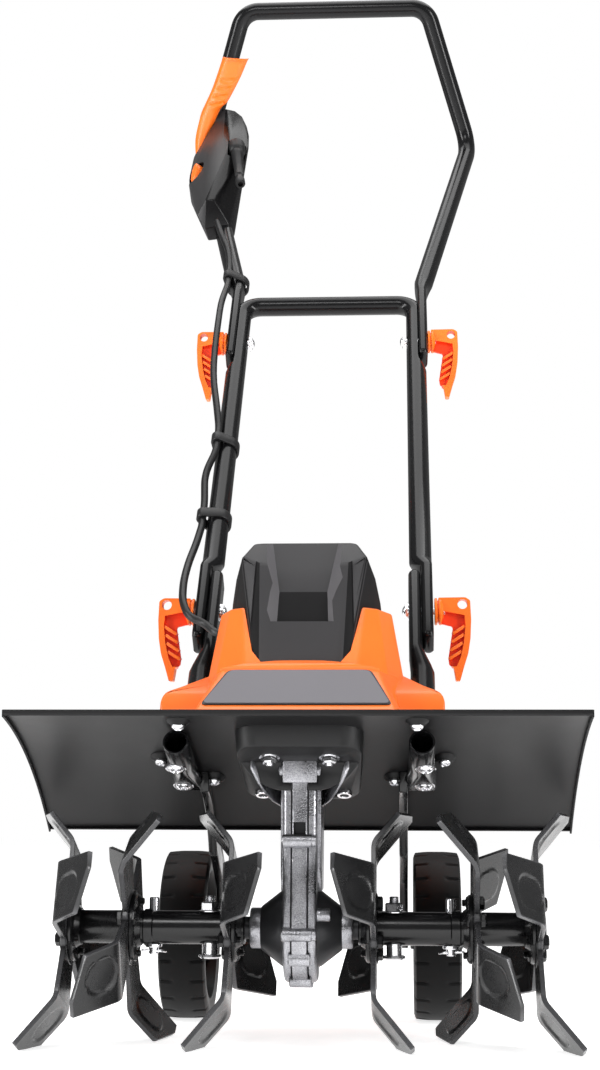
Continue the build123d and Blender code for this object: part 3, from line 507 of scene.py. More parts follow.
def surfaces():
    """Every surface by name, made once from the chosen colours."""
    if made_surfaces:
        return made_surfaces
    colours = bpy.context.scene.tiller_colours
    orange, hood, paint = colours.orange[:], colours.hood_grey[:], colours.frame_black[:]
    # key, name, colour and roughness; grain, relief, depth, patch, shade and rough_shift; what else differs
    table = (
        ("gloss paint", "gloss black stoved paint", paint, 0.2,
         (260, 0.03, 0.0002, 9, 0.15, 0.03), {"specular": 0.26}),
        ("rotor paint", "gloss black rotor paint", paint, 0.22,
         (300, 0.05, 0.0002, 20, 0.2, 0.06), {"coat": 0.1, "coat_roughness": 0.08, "specular": 0.4}),
        # satin black tine paint with a painted highlight along the blades' edges
        ("tine paint", "satin black tine paint", (0.012, 0.012, 0.0125), 0.26,
         (900, 0.012, 0.0002, 24, 0.15, 0.06),
         {"metal": 0.1, "specular": 0.5, "edge_highlight": 0.6, "edge_highlight_colour": (0.16, 0.16, 0.17)}),
        ("guard paint", "black powder coat", (0.0085, 0.0083, 0.0088), 0.42,
         (1400, 0.14, 0.0002, 6, 0.12, 0.05), {"specular": 0.22}),
        ("orange plastic", "orange moulded plastic", orange, 0.34,
         (1600, 0.06, 0.0001, 10, 0.05, 0.04), {"specular": 0.45}),
        # painted shade: the housing orange darkened for the levers' recessed pockets
        ("orange painted shade", "orange plastic with painted shade in the recesses", colours.pocket_shade_orange[:], 0.4,
         (1600, 0.08, 0.0001, 10, 0.06, 0.04), {}),
        ("hood plastic", "dark grey hood plastic", hood, 0.46,
         (2400, 0.22, 0.00015, 9, 0.08, 0.05), {}),
        # painted shade: a darker copy of the hood plastic for its shaded faces
        ("hood painted shade", "shaded hood plastic", [c * 0.3 for c in hood], 0.5,
         (2400, 0.12, 0.00012, 9, 0.1, 0.05), {"specular": 0.12}),
        # painted light: a lighter copy of the hood plastic for the lit walls of the sunk panel
        ("hood painted light", "lit hood plastic", [c * 3.2 for c in hood], 0.5,
         (2400, 0.12, 0.00012, 9, 0.1, 0.05), {}),
        ("panel plastic", "light grey panel plastic", colours.panel_grey[:], 0.55,
         (2600, 0.16, 0.00012, 8, 0.05, 0.04), {"specular": 0.2}),
        ("black plastic", "grained black plastic", (0.009, 0.009, 0.0095), 0.42,
         (1800, 0.2, 0.00015, 16, 0.15, 0.07), {}),
        ("gloss plastic", "gloss black plastic", (0.0045, 0.0043, 0.0047), 0.26,
         (1500, 0.05, 0.0001, 18, 0.15, 0.04), {"specular": 0.2}),
        ("box plastic", "dark grey box plastic", (0.024, 0.0235, 0.0245), 0.42,
         (1900, 0.18, 0.00015, 16, 0.12, 0.06), {}),
        ("tyre plastic", "moulded tyre plastic", (0.0035, 0.0035, 0.0037), 0.5,
         (1100, 0.2, 0.0002, 18, 0.2, 0.08), {"specular": 0.18}),
        # the hubs' own dark paint, also used as painted shade in the gearbox's seams and notch
        ("hub paint and gap shade", "dark gearbox hub and painted gap shade", (0.03, 0.03, 0.032), 0.36,
         (600, 0.2, 0.0002, 26, 0.18, 0.06), {"metal": 0.4}),
        ("zinc", "bright zinc plate", (0.82, 0.82, 0.84), 0.2,
         (420, 0.08, 0.0002, 60, 0.08, 0.06), {"metal": 1.0}),
        ("lead rubber", "black lead sheath", (0.007, 0.007, 0.0073), 0.36,
         (700, 0.1, 0.0002, 30, 0.15, 0.06), {}),
    )
    for key, name, colour, roughness, texture, further in table:
        made_surfaces[key] = surface(name, colour, roughness, *texture, **further)
    made_surfaces["cast"] = cast_surface()
    return made_surfaces


# ------------------------------------------------------------------ sizes and colours a user would change
def colour_value(name, description, default):
    """A colour for a property group."""
    return bpy.props.FloatVectorProperty(name=name, description=description, default=default, size=3,
                                         subtype="COLOR", min=0.0, max=1.0)


def size_value(name, description, default, low, high, unit="LENGTH"):
    """A size or a strength for a property group."""
    return bpy.props.FloatProperty(name=name, description=description, default=default, min=low,
                                   max=high, unit=unit)


class TillerColours(bpy.types.PropertyGroup):
    orange: colour_value("Orange", "Housing, levers and bail", (0.93, 0.165, 0.012))
    # painted shade: a darker orange for the lever pockets
    pocket_shade_orange: colour_value("Pocket shade orange", "Darker orange painted as shade in the ribbed recesses of the cam levers", (0.85, 0.045, 0.004))
    hood_grey: colour_value("Hood grey", "Motor hood", (0.026, 0.025, 0.0265))
    panel_grey: colour_value("Panel grey", "Nose panel in front of the hood", (0.15, 0.145, 0.158))
    frame_black: colour_value("Frame black", "Stoved paint on the handle tubes", (0.005, 0.005, 0.0055))


class TillerSizes(bpy.types.PropertyGroup):
    pressed_ridge: size_value("Pressed ridge", "How far the pad pressed into each tine stands out",
                              0.0013, 0.0, 0.003)
    tread_depth: size_value("Tread depth", "Depth of the slots in the tyre's shoulders", 0.0014, 0.0, 0.006)
    moulded_edge: size_value("Moulded edge", "Radius of the edges of the plastic housing",
                             0.0026, 0.0005, 0.004)
    lamp_power: size_value("Lamp power", "Power of each side lamp", 60.0, 1.0, 1000.0, "POWER")
    lens: size_value("Lens", "Focal length of the camera", 59.84, 20.0, 200.0, "CAMERA")


# ------------------------------------------------------------------ rotor
star_hub = 31.0
bend_radius = 14.0
bend_start = 67.0
bend_angle = radians(40)
blade_root, blade_end = 10, 103.5
arm_steps, bend_steps, paddle_steps, blade_columns = 8, 8, 30, 30
edge_in, edge_down = 0.35, 0.45
off_paddle = -99.0
blade_left = ((8, -17), (34, -19), (91.5, -21), (blade_end, 12))
blade_right = ((8, 17), (34, 23), (62, 31), (blade_end, 25))
pad_middle, pad_half, pad_corner = (1.5, 17.5), (13.5, 15.5), 12.0


def read_line(line, out):
    """Read a line of (distance out, distance across) at one distance out."""
    for (low, first), (high, second) in zip(line, line[1:]):
        if out <= high + 1e-6:
            return first + (second - first) * (out - low) / (high - low)
    return line[-1][1]


def pad_height(across, along):
    """How far the pressed pad stands out at a place on the paddle: 1 on the pad and 0 off it."""
    dx = abs(across - pad_middle[0]) - (pad_half[0] - pad_corner)
    dy = abs(along - pad_middle[1]) - (pad_half[1] - pad_corner)
    inside = min(max(dx, dy), 0) + sqrt(max(dx, 0) ** 2 + max(dy, 0) ** 2) - pad_corner
    return min(1.0, max(0.0, 0.5 - inside / 1.6))


def blade_form(lateral, turn):
    """One bent blade that points up from the shaft, with a pad pressed into its paddle."""
    ridge = bpy.context.scene.tiller_sizes.pressed_ridge * 1000
    half = tine_plate / 2
    cut = bend_radius * tan(bend_angle / 2)
    stations = [blade_root + i * (bend_start - cut - blade_root) / arm_steps for i in range(arm_steps + 1)]
    path = [(0.0, z, 0.0, off_paddle) for z in stations]
    for i in range(1, bend_steps + 1):
        turned_by = bend_angle * i / bend_steps
        path.append((bend_radius * (1 - cos(turned_by)), bend_start - cut + bend_radius * sin(turned_by),
                     turned_by, cut * (2 * i / bend_steps - 1)))
    x0, z0 = path[-1][0], path[-1][1]
    run = (blade_end - z0) / cos(bend_angle)
    for i in range(1, paddle_steps + 1):
        path.append((x0 + sin(bend_angle) * run * i / paddle_steps,
                     z0 + cos(bend_angle) * run * i / paddle_steps, bend_angle,
                     cut + run * i / paddle_steps))
    loops = []
    for x, z, lean, along in path:
        low, high = read_line(blade_left, z), read_line(blade_right, z)
        lift = Vector((cos(lean) * lateral, 0, -sin(lean)))
        middle = Vector((x * lateral, 0, z))
        face, back = [], []
        for column in range(blade_columns + 1):
            share = column / blade_columns
            across = low + (high - low) * share
            raised = ridge * pad_height(across, along) if along > off_paddle else 0
            place = middle + Vector((0, turn * across, 0))
            if 0 < column < blade_columns:
                face.append(place + lift * (half + raised))
                back.append(place + lift * (raised - half))
            else:  # the eased long edges
                inner = middle + Vector((0, turn * (across + (-edge_in if column else edge_in)), 0))
                order = 1 if column else -1
                face += [inner + lift * half, place + lift * (half - edge_down)][::order]
                back += [inner - lift * half, place - lift * (half - edge_down)][::order]
        loops.append(face + back[::-1])
    return skin(loops)


def star_form(first_lateral, turn):
    """A whole star: a round drilled middle and four blades whose neighbours bend opposite ways."""
    half = tine_plate / 2 + 0.35
    disc = turned([(13.3, -half), (star_hub - 0.8, -half), (star_hub, -half + 0.8), (star_hub, half - 0.8),
                   (star_hub - 0.8, half), (13.3, half)], (0, 0, 0), (1, 0, 0), 64, closed=True)
    blades = bmesh.new()
    for quarter in range(4):
        blade = blade_form(first_lateral * (-1) ** quarter, turn)
        gather(blades, moved(blade, Matrix.Rotation(radians(90 * quarter), 4, "X")))
    return joined(disc, blades)


# name, x of its plate, phase, and which way its first blade bends
star_table = (
    ("inner", 58.5, star_phase, 1),
    ("middle", 141.0, -star_phase, -1),
    ("outer", 190.5, star_phase, 1),
)


class BuildStars(bpy.types.Operator):
    """Six stars of bent tines, each with its bolts"""
    bl_idname = "tiller.stars"
    bl_label = "Tine stars"

    def execute(self, context):
        for side_name, side in SIDES:
            for star_name, star_x, phase, bend in star_table:
                form = star_form(side * bend, 1 if phase > 0 else -1)
                place = Matrix.Translation((side * star_x, 0, shaft_height))
                place = place @ Matrix.Rotation(radians(-phase), 4, "X")
                name = f"{side_name}_{star_name}"
                piece(f"tines_{name}", moved(form, place), "tine_rotor", "tine paint",
                      (f"tine_star_{name}",), 26)
                bolts = bmesh.new()
                for quarter in range(4):
                    angle = radians(45 + 90 * quarter)
                    spot = Vector((0, 22 * sin(angle), 22 * cos(angle)))
                    for face in (-1, 1):
                        gather(bolts, hex_bolt(spot + Vector((face * 2.3, 0, 0)), (face, 0, 0), 10, 4.2, 1.2,
                                               0 if face == side else 3, 3))
                flange = turned([(13.3, 0), (26.5, 0), (27.5, 1), (27.5, 3), (26.5, 4), (17, 4), (14.5, 8),
                                 (13.3, 8)], (-side * 2.3, 0, 0), (-side, 0, 0), 48, closed=True)
                gather(bolts, flange)
                piece(f"star_bolts_{name}", moved(bolts, place), "tine_rotor", "rotor paint")
        return {"FINISHED"}


class BuildTineTubes(bpy.types.Operator):
    """The tine tubes with their cross bolts and clevis pins"""
    bl_idname = "tiller.tine_tubes"
    bl_label = "Tine tubes"

    def execute(self, context):
        for side_name, side in SIDES:
            profile = [(9.2, 0), (tube_radius - 1, 0), (tube_radius, 1), (tube_radius, 74.5),
                       (tube_radius + 1.3, 75.5), (tube_radius + 1.3, 82), (tube_radius, 83),
                       (tube_radius, 150), (tube_radius - 0.8, 151), (11.8, 151), (11.4, 150.4), (11.4, 114),
                       (9.2, 114)]
            tube = turned(profile, (side * 46, 0, shaft_height), (side, 0, 0), 56, closed=True)
            piece(f"rotor_tube_{side_name}", tube, "tine_rotor", "rotor paint",
                  (f"tine_tube_{side_name}",), 40)
            shine = bmesh.new()
            for bolt_x, across in ((75.0, 13), (121.0, 0)):
                low = Vector((side * bolt_x, 0, shaft_height - tube_radius + 0.6))
                high = Vector((side * bolt_x, 0, shaft_height + tube_radius - 0.6))
                if across:
                    gather(shine,
                           turned([(0, -1), (6.3, -1), (6.3, 8.0), (9.0, 8.6), (9.2, 10.2), (7.6, 11.6),
                                   (0, 12.2)], low, (0, 0, -1), 32),
                           hex_bolt(high, (0, 0, 1), across, 6.5, 1.2, 5))
                else:
                    pin = [(0, -8.5), (3.2, -8.5), (4, -7.5), (4, 36), (3.4, 37), (0, 37)]
                    gather(shine, turned(pin, low, (0, 0, 1), 24),
                           turned([(0, -3), (6.2, -3), (6.8, -2.2), (6.8, -0.4), (6.2, 0.2), (0, 0.2)], low,
                                  (0, 0, 1), 28))
                    middle = low + Vector((0, 0, -6))
                    clip = rounded_route([
                        middle + Vector((side * x, y, z)) for x, y, z in
                        ((9, -2, 1), (-7, -2, 0), (-10, 4, -1), (-4, 7, 0), (0, 5, 0), (4, 7, 0), (11, 8, 0))
                    ], 1.6)
                    gather(shine, swept(clip, section(0.9, 0.9, 0.9, 3), (0, 0, 1)))
            piece(f"rotor_pins_{side_name}", shine, "tine_rotor", "zinc")
        return {"FINISHED"}


# ------------------------------------------------------------------ gearbox
gear_radius = 43.0
case_half = 13.5
seam_x = 6.7
base_down, base_ahead = Vector((0, -43, -106)).normalized(), Vector((0, 106, -43)).normalized()
base_floor = Vector((0, -13, 216.1))


def case_side_view(grow, rear):
    """The column's outline seen from the side, with the round gear chamber at its foot."""
    outline = [(-33 - grow, 232), (rear, 216), (rear - 1, 150), (rear + 6, 118)]
    low = radians(28)
    for i in range(25):
        angle = low - (low + radians(188)) * i / 24
        outline.append(((gear_radius + grow) * cos(angle), shaft_height + (gear_radius + grow) * sin(angle)))
    return [*outline, (-42.4 - grow, 108), (-37.5 - grow, 140), (-35.5 - grow, 160)]


class BuildGearbox(bpy.types.Operator):
    """The cast gearbox column: two ribbed halves, its bosses, hubs and collars"""
    bl_idname = "tiller.gearbox"
    bl_label = "Gearbox"

    def execute(self, context):
        # painted shade: the faces in the seam grooves and in the notch take the dark hub paint
        def in_shaded_gap(place, normal):
            in_seam = abs(abs(place.x) - seam_x) < 0.56 and abs(normal.x) < 0.3
            return in_seam or (abs(place.x) < 5 and 167 < place.z < 178.5 and -45 < place.y < -29)

        shell = eased(side_prism(case_side_view(0, 33), case_half), 3.2, 3)
        wall = eased(side_prism([(-16, 136), (-18, 232), (35, 214), (34, 136), (30, 122), (-10, 122)], 16.5),
                     1.2)
        rib = eased(side_prism(case_side_view(2.6, 30), 6), 1.1)
        head = eased(side_prism([(-38.8, 209), (-38.2, 234), (20, 222), (20, 209)], 14), 1.5)
        notch = side_prism([(-46, 167.5), (-46, 178), (-30, 178), (-30, 167.5)], 4.9)
        seam = carved(side_prism(case_side_view(6, 33), 0.6), side_prism(case_side_view(-1.6, 40), 2),
                      side_prism([(-60, 206), (-60, 260), (60, 260), (60, 206)], 3))
        seams = [moved(seam.copy(), Matrix.Translation((side * seam_x, 0, 0))) for side in (-1, 1)]
        seam.free()
        case = carved(joined(shell, wall, rib, head), notch, *seams)
        screw_boss = [(0, -14), (4.6, -14), (5.4, -13), (5.4, 9.6), (4.8, 10.2), (4.8, 13), (4.2, 13.6),
                      (0, 13.6)]
        head_boss = [(0, 0), (5.6, 0), (5.6, 3.6), (4.9, 4.3), (0, 4.3)]
        lug = [(0, -9), (4.8, -9), (5.6, -8.2), (5.6, 8.2), (4.8, 9), (0, 9)]
        lug_circle = gear_radius * 1.01
        bosses = [turned(screw_boss, (0, front, level), (1, 0, 0), 28)
                  for level, front in ((163.0, -38.0), (90.0, -44.0))]
        bosses += [turned(head_boss, (side * 12.5, -32, 219), (side, 0, 0), 28) for side in (-1, 1)]
        for angle in (radians(degrees) for degrees in range(-150, 31, 36)):
            spot = (0, lug_circle * cos(angle), shaft_height + lug_circle * sin(angle))
            bosses.append(turned(lug, spot, (1, 0, 0), 20))
        case = joined(case, *bosses)
        piece("gearbox_casting", case, "chassis", "cast",
              ("gear_case_left", "gear_case_right"), 30, (("hub paint and gap shade", in_shaded_gap),))
        webs = bmesh.new()
        for side in (-1, 1):
            loops = []
            for x, along, height in ((39, -27, 6), (34, -20, 15), (29, -11, 20), (23, 3, 22), (16, 15, 22)):
                spot = base_floor + base_ahead * along + Vector((side * x, 0, 0))
                across = (base_ahead * 6 + Vector((side * 11, 0, 0))).normalized()
                loops.append([spot - across - base_down * 2, spot + across - base_down * 2,
                              spot + across + base_down * height, spot - across + base_down * height])
            gather(webs, skin(loops))
        piece("gearbox_webs", eased(webs, 0.5, 2, 30), "chassis", "cast", (), 30)
        hubs = bmesh.new()
        collars = bmesh.new()
        for side in (-1, 1):
            gather(hubs,
                   turned([(0, 12), (30.5, 12), (31.2, 13), (29.8, 16.5), (17.6, 32.4), (16.6, 33), (0, 33)],
                          shaft_middle, (side, 0, 0), 56))
            gather(collars,
                   turned([(9.3, 30), (15.8, 30), (16.3, 31), (16.3, 40.4), (15.4, 41.6), (9.3, 41.8)],
                          shaft_middle, (side, 0, 0), 56, closed=True))
        gather(collars,
               turned([(0, 14), (5.2, 14), (5.2, 23.5), (4.6, 24.3), (0, 24.3)], (0, -34, 105),
                      (1, 0, 0), 24))
        piece("gearbox_hubs", hubs, "chassis", "hub paint and gap shade", (), 40)
        piece("gearbox_collars", collars, "chassis", "cast", (), 40)
        return {"FINISHED"}


# ------------------------------------------------------------------ guard
guard_half = 229.0
guard_front, guard_rear = Vector((-102.0, 263.0)), Vector((98.0, 173.6))
guard_radius = 469.0
guard_columns, guard_rows = 40, 40
lip_width = 1.8
chord = guard_rear - guard_front
guard_centre = (guard_front + guard_rear) / 2 + Vector((chord.y, -chord.x)).normalized() * sqrt(
    guard_radius**2 - chord.length**2 / 4
)


def on_guard(x, y, drop=0.0):
    """A point of the guard's arc at x and y, drop below its middle surface and square to it."""
    radius = guard_radius - drop
    return Vector((x, y, guard_centre.y + sqrt(radius**2 - (y - guard_centre.x) ** 2)))


def guard_down(y):
    """The direction square to the guard, downwards."""
    point = on_guard(0, y)
    return (Vector((0, guard_centre.x, guard_centre.y)) - point).normalized()


class BuildGuard(bpy.types.Operator):
    """The curved tine guard with its folded lips, and the screws in it"""
    bl_idname = "tiller.guard"
    bl_label = "Tine guard"

    def execute(self, context):
        rows = []
        length = guard_rear.x - guard_front.x
        levels = [guard_front.x + length * i / guard_rows for i in range(guard_rows + 1)]
        half_columns = guard_columns // 2
        for column in range(-half_columns, half_columns + 1):
            x = guard_half * column / half_columns
            x = max(-guard_half + 1.0, min(guard_half - 1.0, x))
            under = [on_guard(x, y, 1.0) for y in levels]
            over = [on_guard(x, y, -1.0) for y in levels]
            hem_front = [under[0] + Vector((0, 1.5, -2.2)), under[0] + Vector((0, -0.4, -2.6)),
                         under[0] + Vector((0, -1.3, -1.0)), over[0] + Vector((0, -0.6, 0.1))]
            hem_rear = [over[-1] + Vector((0, 0.7, -0.4)), under[-1] + Vector((0, 0.7, -1.4)),
                        under[-1] + Vector((0, -0.5, -2.4)), under[-1] + Vector((0, -1.8, -1.6))]
            rows.append(hem_front + over + hem_rear + under[::-1])
        sheet = skin(rows)
        for side in (-1, 1):  # the folded side lips
            lip = []
            for y in levels:
                low, high = on_guard(side * guard_half, y, 4.2), on_guard(side * guard_half, y, -1.0)
                inward = Vector((-side * lip_width, 0, 0))
                lip.append([high, low, low + inward * 0.3 + guard_down(y) * 0.7, low + inward, high + inward])
            gather(sheet, skin(lip))
        piece("guard_sheet", sheet, "chassis", "guard paint", ("tine_guard",), 40)
        screws, collars = bmesh.new(), bmesh.new()
        for side in (-1, 1):
            for x, y in ((94, -77), (117, 0), (76, 32)):
                foot = on_guard(side * x, y, 1.0)
                down = guard_down(y)
                gather(collars,
                       turned([(0, -0.4), (9.5, -0.4), (9.0, 1.2), (6.4, 3.0), (6.0, 4.4), (0, 4.4)], foot,
                              down, 28))
                gather(screws, button_screw(foot + down * 4.2, down, 5.2, 3.0))
        piece("guard_screws", screws, "chassis", "zinc")
        piece("guard_screw_seats", collars, "chassis", "guard paint", (), 40)
        return {"FINISHED"}


class BuildMotorBase(bpy.types.Operator):
    """The moulded base that carries the motor and the gearbox through the guard"""
    bl_idname = "tiller.motor_base"
    bl_label = "Motor base"

    def execute(self, context):
        piece("base_moulding", eased(node_copy("motor_base"), 0.9, 2, 35), "chassis",
              "black plastic", ("motor_base",), 30)
        nuts, rings = bmesh.new(), bmesh.new()
        for x, along in ((-24, -34), (24, -34), (-34, 38), (34, 38)):
            foot, down = base_floor + Vector((x, 0, 0)) + base_ahead * along, base_down
            if along < 0:
                gather(nuts, hex_bolt(foot - down * 0.2, down, 10, 4.6, 1.2, 2, 2.6))
            else:
                gather(rings,
                       turned([(3.4, -0.5), (6.4, -0.5), (6.4, 2.2), (5.8, 2.8), (3.9, 2.8), (3.4, 2.2)],
                              foot, down, 28, closed=True),
                       turned([(0, -0.5), (3.4, -0.5), (3.2, 0.8), (1.6, 1.2), (0, 1.2)], foot, down, 20))
        piece("base_nuts", nuts, "chassis", "zinc")
        piece("base_screw_rings", rings, "chassis", "zinc")
        return {"FINISHED"}


# ------------------------------------------------------------------ hood
mask_line = ((-30, 308.5), (14, 392), (38, 414.5))
cowl_side = ((-41, 288), *mask_line, (62, 418.5), (108, 418.5), (150, 392), (176, 340), (178, 288))
cowl_front = ((67, 288), (67, 340), (64.5, 364), (60.5, 384), (54, 400), (44, 415), (38, 421))
mask_edge = (Vector((38, -30, 308.5)), Vector((51.5, 16.6, 394.5)), Vector((67, 66, 340)))
tail_edge = (Vector((67, 116, 300)), Vector((44, 177, 300)), Vector((56, 112, 400)))
band_edge = (Vector((30, -30, 308.5)), Vector((36.8, 14, 392)), Vector((50, 18.6, 392)))


def pair_of_planes(three, towards):
    """The plane through three points and its mirror image, outward on the side of towards."""
    normal = (three[1] - three[0]).cross(three[2] - three[0]).normalized()
    if normal.dot(Vector(towards)) < 0:
        normal.negate()
    return [(three[0], normal),
            (Vector((-three[0].x, three[0].y, three[0].z)), Vector((-normal.x, normal.y, normal.z)))]


def hood_planes():
    """Every flat side of the hood's closed form."""
    return [*outline_planes(cowl_side, 0), *outline_planes(both_sides(cowl_front), 1),
            *pair_of_planes(mask_edge, (1, -1, 0)), *pair_of_planes(tail_edge, (1, 1, 0)),
            *pair_of_planes(band_edge, (0.2, -1, 0.4))]


def hood_block(grow=0.0):
    """The hood's closed form, its sides moved out by grow."""
    return flat_sided([(point + outward.normalized() * grow, outward) for point, outward in hood_planes()])


# height, then half widths of the recess's opening and bottom, and the y of each, going up
recess_rows = (
    (342.0, 26.4, 21.4, -12.3, -4.5),
    (369.0, 28.4, 20.2, 1.9, 8.4),
    (392.0, 31.0, 24.2, 14.0, 25.5),
    (419.0, 34.0, 28.8, 40.5, 47.5),
)
strip_outline = ((34, 300), (44.5, 300), (40.6, 417), (38.8, 417))
band_corner = band_edge[0]
band_out = (band_edge[1] - band_corner).cross(band_edge[2] - band_corner).normalized()
if band_out.y > 0:
    band_out.negate()


def band_point(x, z, lift):
    """A point on the band right of the hood's middle, at x and z and lift outwards."""
    y = band_corner.y - (band_out.x * (x - band_corner.x) + band_out.z * (z - band_corner.z)) / band_out.y
    return Vector((x, y, z)) + band_out * lift


class BuildHood(bpy.types.Operator):
    """The faceted motor hood with its sunk front panel"""
    bl_idname = "tiller.hood"
    bl_label = "Motor hood"

    def execute(self, context):
        hood = eased(hood_block(), 2.4, 3, 12)
        loops = []
        for z, opening, bottom, y_open, y_bottom in recess_rows:
            flare = opening + 12 * (opening - bottom) / (y_bottom - y_open)
            loops.append([(-flare, y_open - 12, z), (flare, y_open - 12, z), (bottom, y_bottom, z),
                          (-bottom, y_bottom, z)])
        hood = carved(hood, skin(loops))
        for side in (-1, 1):  # the sunk strip down each band
            cutter = skin([[band_point(x, z, lift) for x, z in strip_outline] for lift in (-1.2, 8)])
            hood = carved(hood, mirrored(cutter) if side < 0 else cutter)

        # painted light: the walls of the sunk panel take the lighter copy of the hood plastic
        def lit_recess_wall(place, normal):
            in_opening = 342 < place.z < 422 and 22 < abs(place.x) < 39
            return in_opening and place.x * normal.x < -0.35 * abs(place.x)

        # painted shade: the sunk strips, the recess's lower panel and the outward-facing sides take the
        # darker copy
        def shaded(place, normal):
            right = Vector((abs(place.x), place.y, place.z))
            facing = Vector((abs(normal.x), normal.y, normal.z))
            sunk = (band_corner - right).dot(band_out)
            in_strip = 1.0 < sunk < 1.4 and facing.dot(band_out) > 0.98 and right.x > 33
            recess_front = -12.3 + 0.527 * (right.z - 342)
            in_recess = (342 < right.z < 369.5 and right.x < 26 and normal.y < -0.5
                         and right.y > recess_front + 2)
            return in_strip or in_recess or (facing.x > 0.62 and right.x > 44)

        # the hood plastic, with painted light on the recess walls and painted shade on the strips, lower
        # panel and sides
        piece("hood_shell", hood, "chassis", "hood plastic", ("motor_cowl",), 24,
              (("hood painted light", lit_recess_wall), ("hood painted shade", shaded)))
        return {"FINISHED"}


# ------------------------------------------------------------------ housing
housing_levels = (
    (180, ((112, -238), (95, -60), (97, 40), (97, 110), (90, 190))),
    (299, ((63.5, -46), (71, -12), (84, 48), (84, 110), (80, 178))),
)
# the shoulders' foot goes down inside the body
shoulder_foot = ((45, -37), (71, -12), (84, 48), (84, 130), (76, 178))
shoulder_levels = (
    (294.2, shoulder_foot),
    (298.5, shoulder_foot),
    (356, ((52, 8), (63, 20), (74, 58), (72, 118), (62, 150))),
)
shoulder_lean = 0.1754  # how far the shoulders' sides lean in for each mm up
wing_side = ((-14, 268), (-4, 284), (14, 292), (60, 303), (150, 303), (166, 290), (166, 240), (92, 186),
             (40, 196))
wing_front = ((117.5, 150), (117.5, 283), (100, 290.5), (78, 306))


def between_plans(levels):
    """A block with flat sides between two symmetrical plans."""
    return skin([[(x, y, z) for x, y in both_sides(half_plan)] for z, half_plan in levels])


class BuildHousing(bpy.types.Operator):
    """The orange housing round the hood: body, shoulders, wings and the lip at the hood's foot"""
    bl_idname = "tiller.housing"
    bl_label = "Orange housing"

    def execute(self, context):
        edge = context.scene.tiller_sizes.moulded_edge * 1000
        body = eased(between_plans(housing_levels), edge, 3, 12)
        shoulders = combined(between_plans(shoulder_levels),
                             side_prism([(-60, 290), (-60, 380), (84, 380), (84, 356), (172, 299),
                                         (185, 290)], 100), "INTERSECT")
        shoulders = eased(shoulders, edge, 3, 12)
        wing_outline = rounded_outline(both_sides(wing_front), 12)
        wings = combined(side_prism(wing_side, 130), front_prism(wing_outline, 300, 500), "INTERSECT")
        wings = eased(wings, edge * 0.8, 3, 16)
        arch = [(-64, 290), (-64, 300.5)]
        arch += [(-64 + 8 * i, 308 - 7.5 * ((-64 + 8 * i) / 64) ** 2) for i in range(1, 16)]
        arch += [(64, 300.5), (64, 290)]
        lip_side = side_prism([(-47, 297), (-46, 301.5), (-43.5, 304.5), (-37, 307.4), (-28, 308.4),
                               (0, 308), (0, 297)], 90)
        lip = combined(lip_side, front_prism(arch, 100, 200), "INTERSECT")
        top = guard_radius + 1.2
        seat = [(y, guard_centre.y + sqrt(top ** 2 - (y - guard_centre.x) ** 2)) for y in range(-264, 185, 8)]
        rear = side_prism([(98, 60), (98, 173), (104, 186), (180, 230), (240, 230), (240, 60)], 200)
        housing = carved(joined(body, shoulders, wings, lip), side_prism([*seat, (184, 40), (-264, 40)], 200),
                         rear, hood_block(0.5))
        for side in (-1, 1):
            socket = swept([leg_point(side * leg_x, -250), leg_point(side * leg_x, -20)],
                           section(11.3, 11.3, 11.3, 9), leg_front)
            housing = carved(housing, socket)
            for i in range(7):
                slot = []
                for y in (57 + 7 * i, 58.3 + 7 * i):
                    slot.append([(side * (84 - (z - 299) * shoulder_lean + shift), y, z) for z, shift in
                                 ((303, -2.6), (346, -2.6), (346, 20), (303, 20))])
                housing = carved(housing, skin(slot))
        piece("housing_moulding", housing, "chassis", "orange plastic",
              ("housing_shell",), 28)
        return {"FINISHED"}


class BuildNosePanel(bpy.types.Operator):
    """The light grey panel on the housing's nose, with the dark line round it"""
    bl_idname = "tiller.nose_panel"
    bl_label = "Nose panel"

    def execute(self, context):
        low, high = Vector((0, -97, 267.4)), Vector((0, -46, 299))
        up = (high - low).normalized()
        length = (high - low).length
        outward = Vector((1, 0, 0)).cross(up)
        for name, grow, thick, look, slot in (("nose_gasket", 1.5, 0.9, "black plastic", "black_plastic"),
                                              ("nose_plate", 0.0, 1.7, "panel plastic", "grey_plastic")):
            outline = rounded_outline([(-73 - grow, 2 - grow), (73 + grow, 2 - grow),
                                       (56 + grow, length - 3 + grow), (-56 - grow, length - 3 + grow)],
                                      (3, 3, 7, 7))
            plate = prism(outline, low + outward * 0.1, (1, 0, 0), up, thick)
            rim = [edge for edge in plate.edges if edge.calc_face_angle(0) > 1 and
                   (edge.verts[0].co - low).dot(outward) > thick * 0.6]
            piece(name, bevelled(plate, rim, 0.5), "chassis", look,
                  ("nose_panel",) if grow == 0 else (), 30)
        return {"FINISHED"}


# ------------------------------------------------------------------ wheels and stays
hole_circle = 34


def on_wheel(side, out, angle, along=0):
    """A point of a wheel, out from its axle at angle and along the axle from its middle."""
    return side * wheel_x + along, wheel_y + out * cos(angle), wheel_z + out * sin(angle)


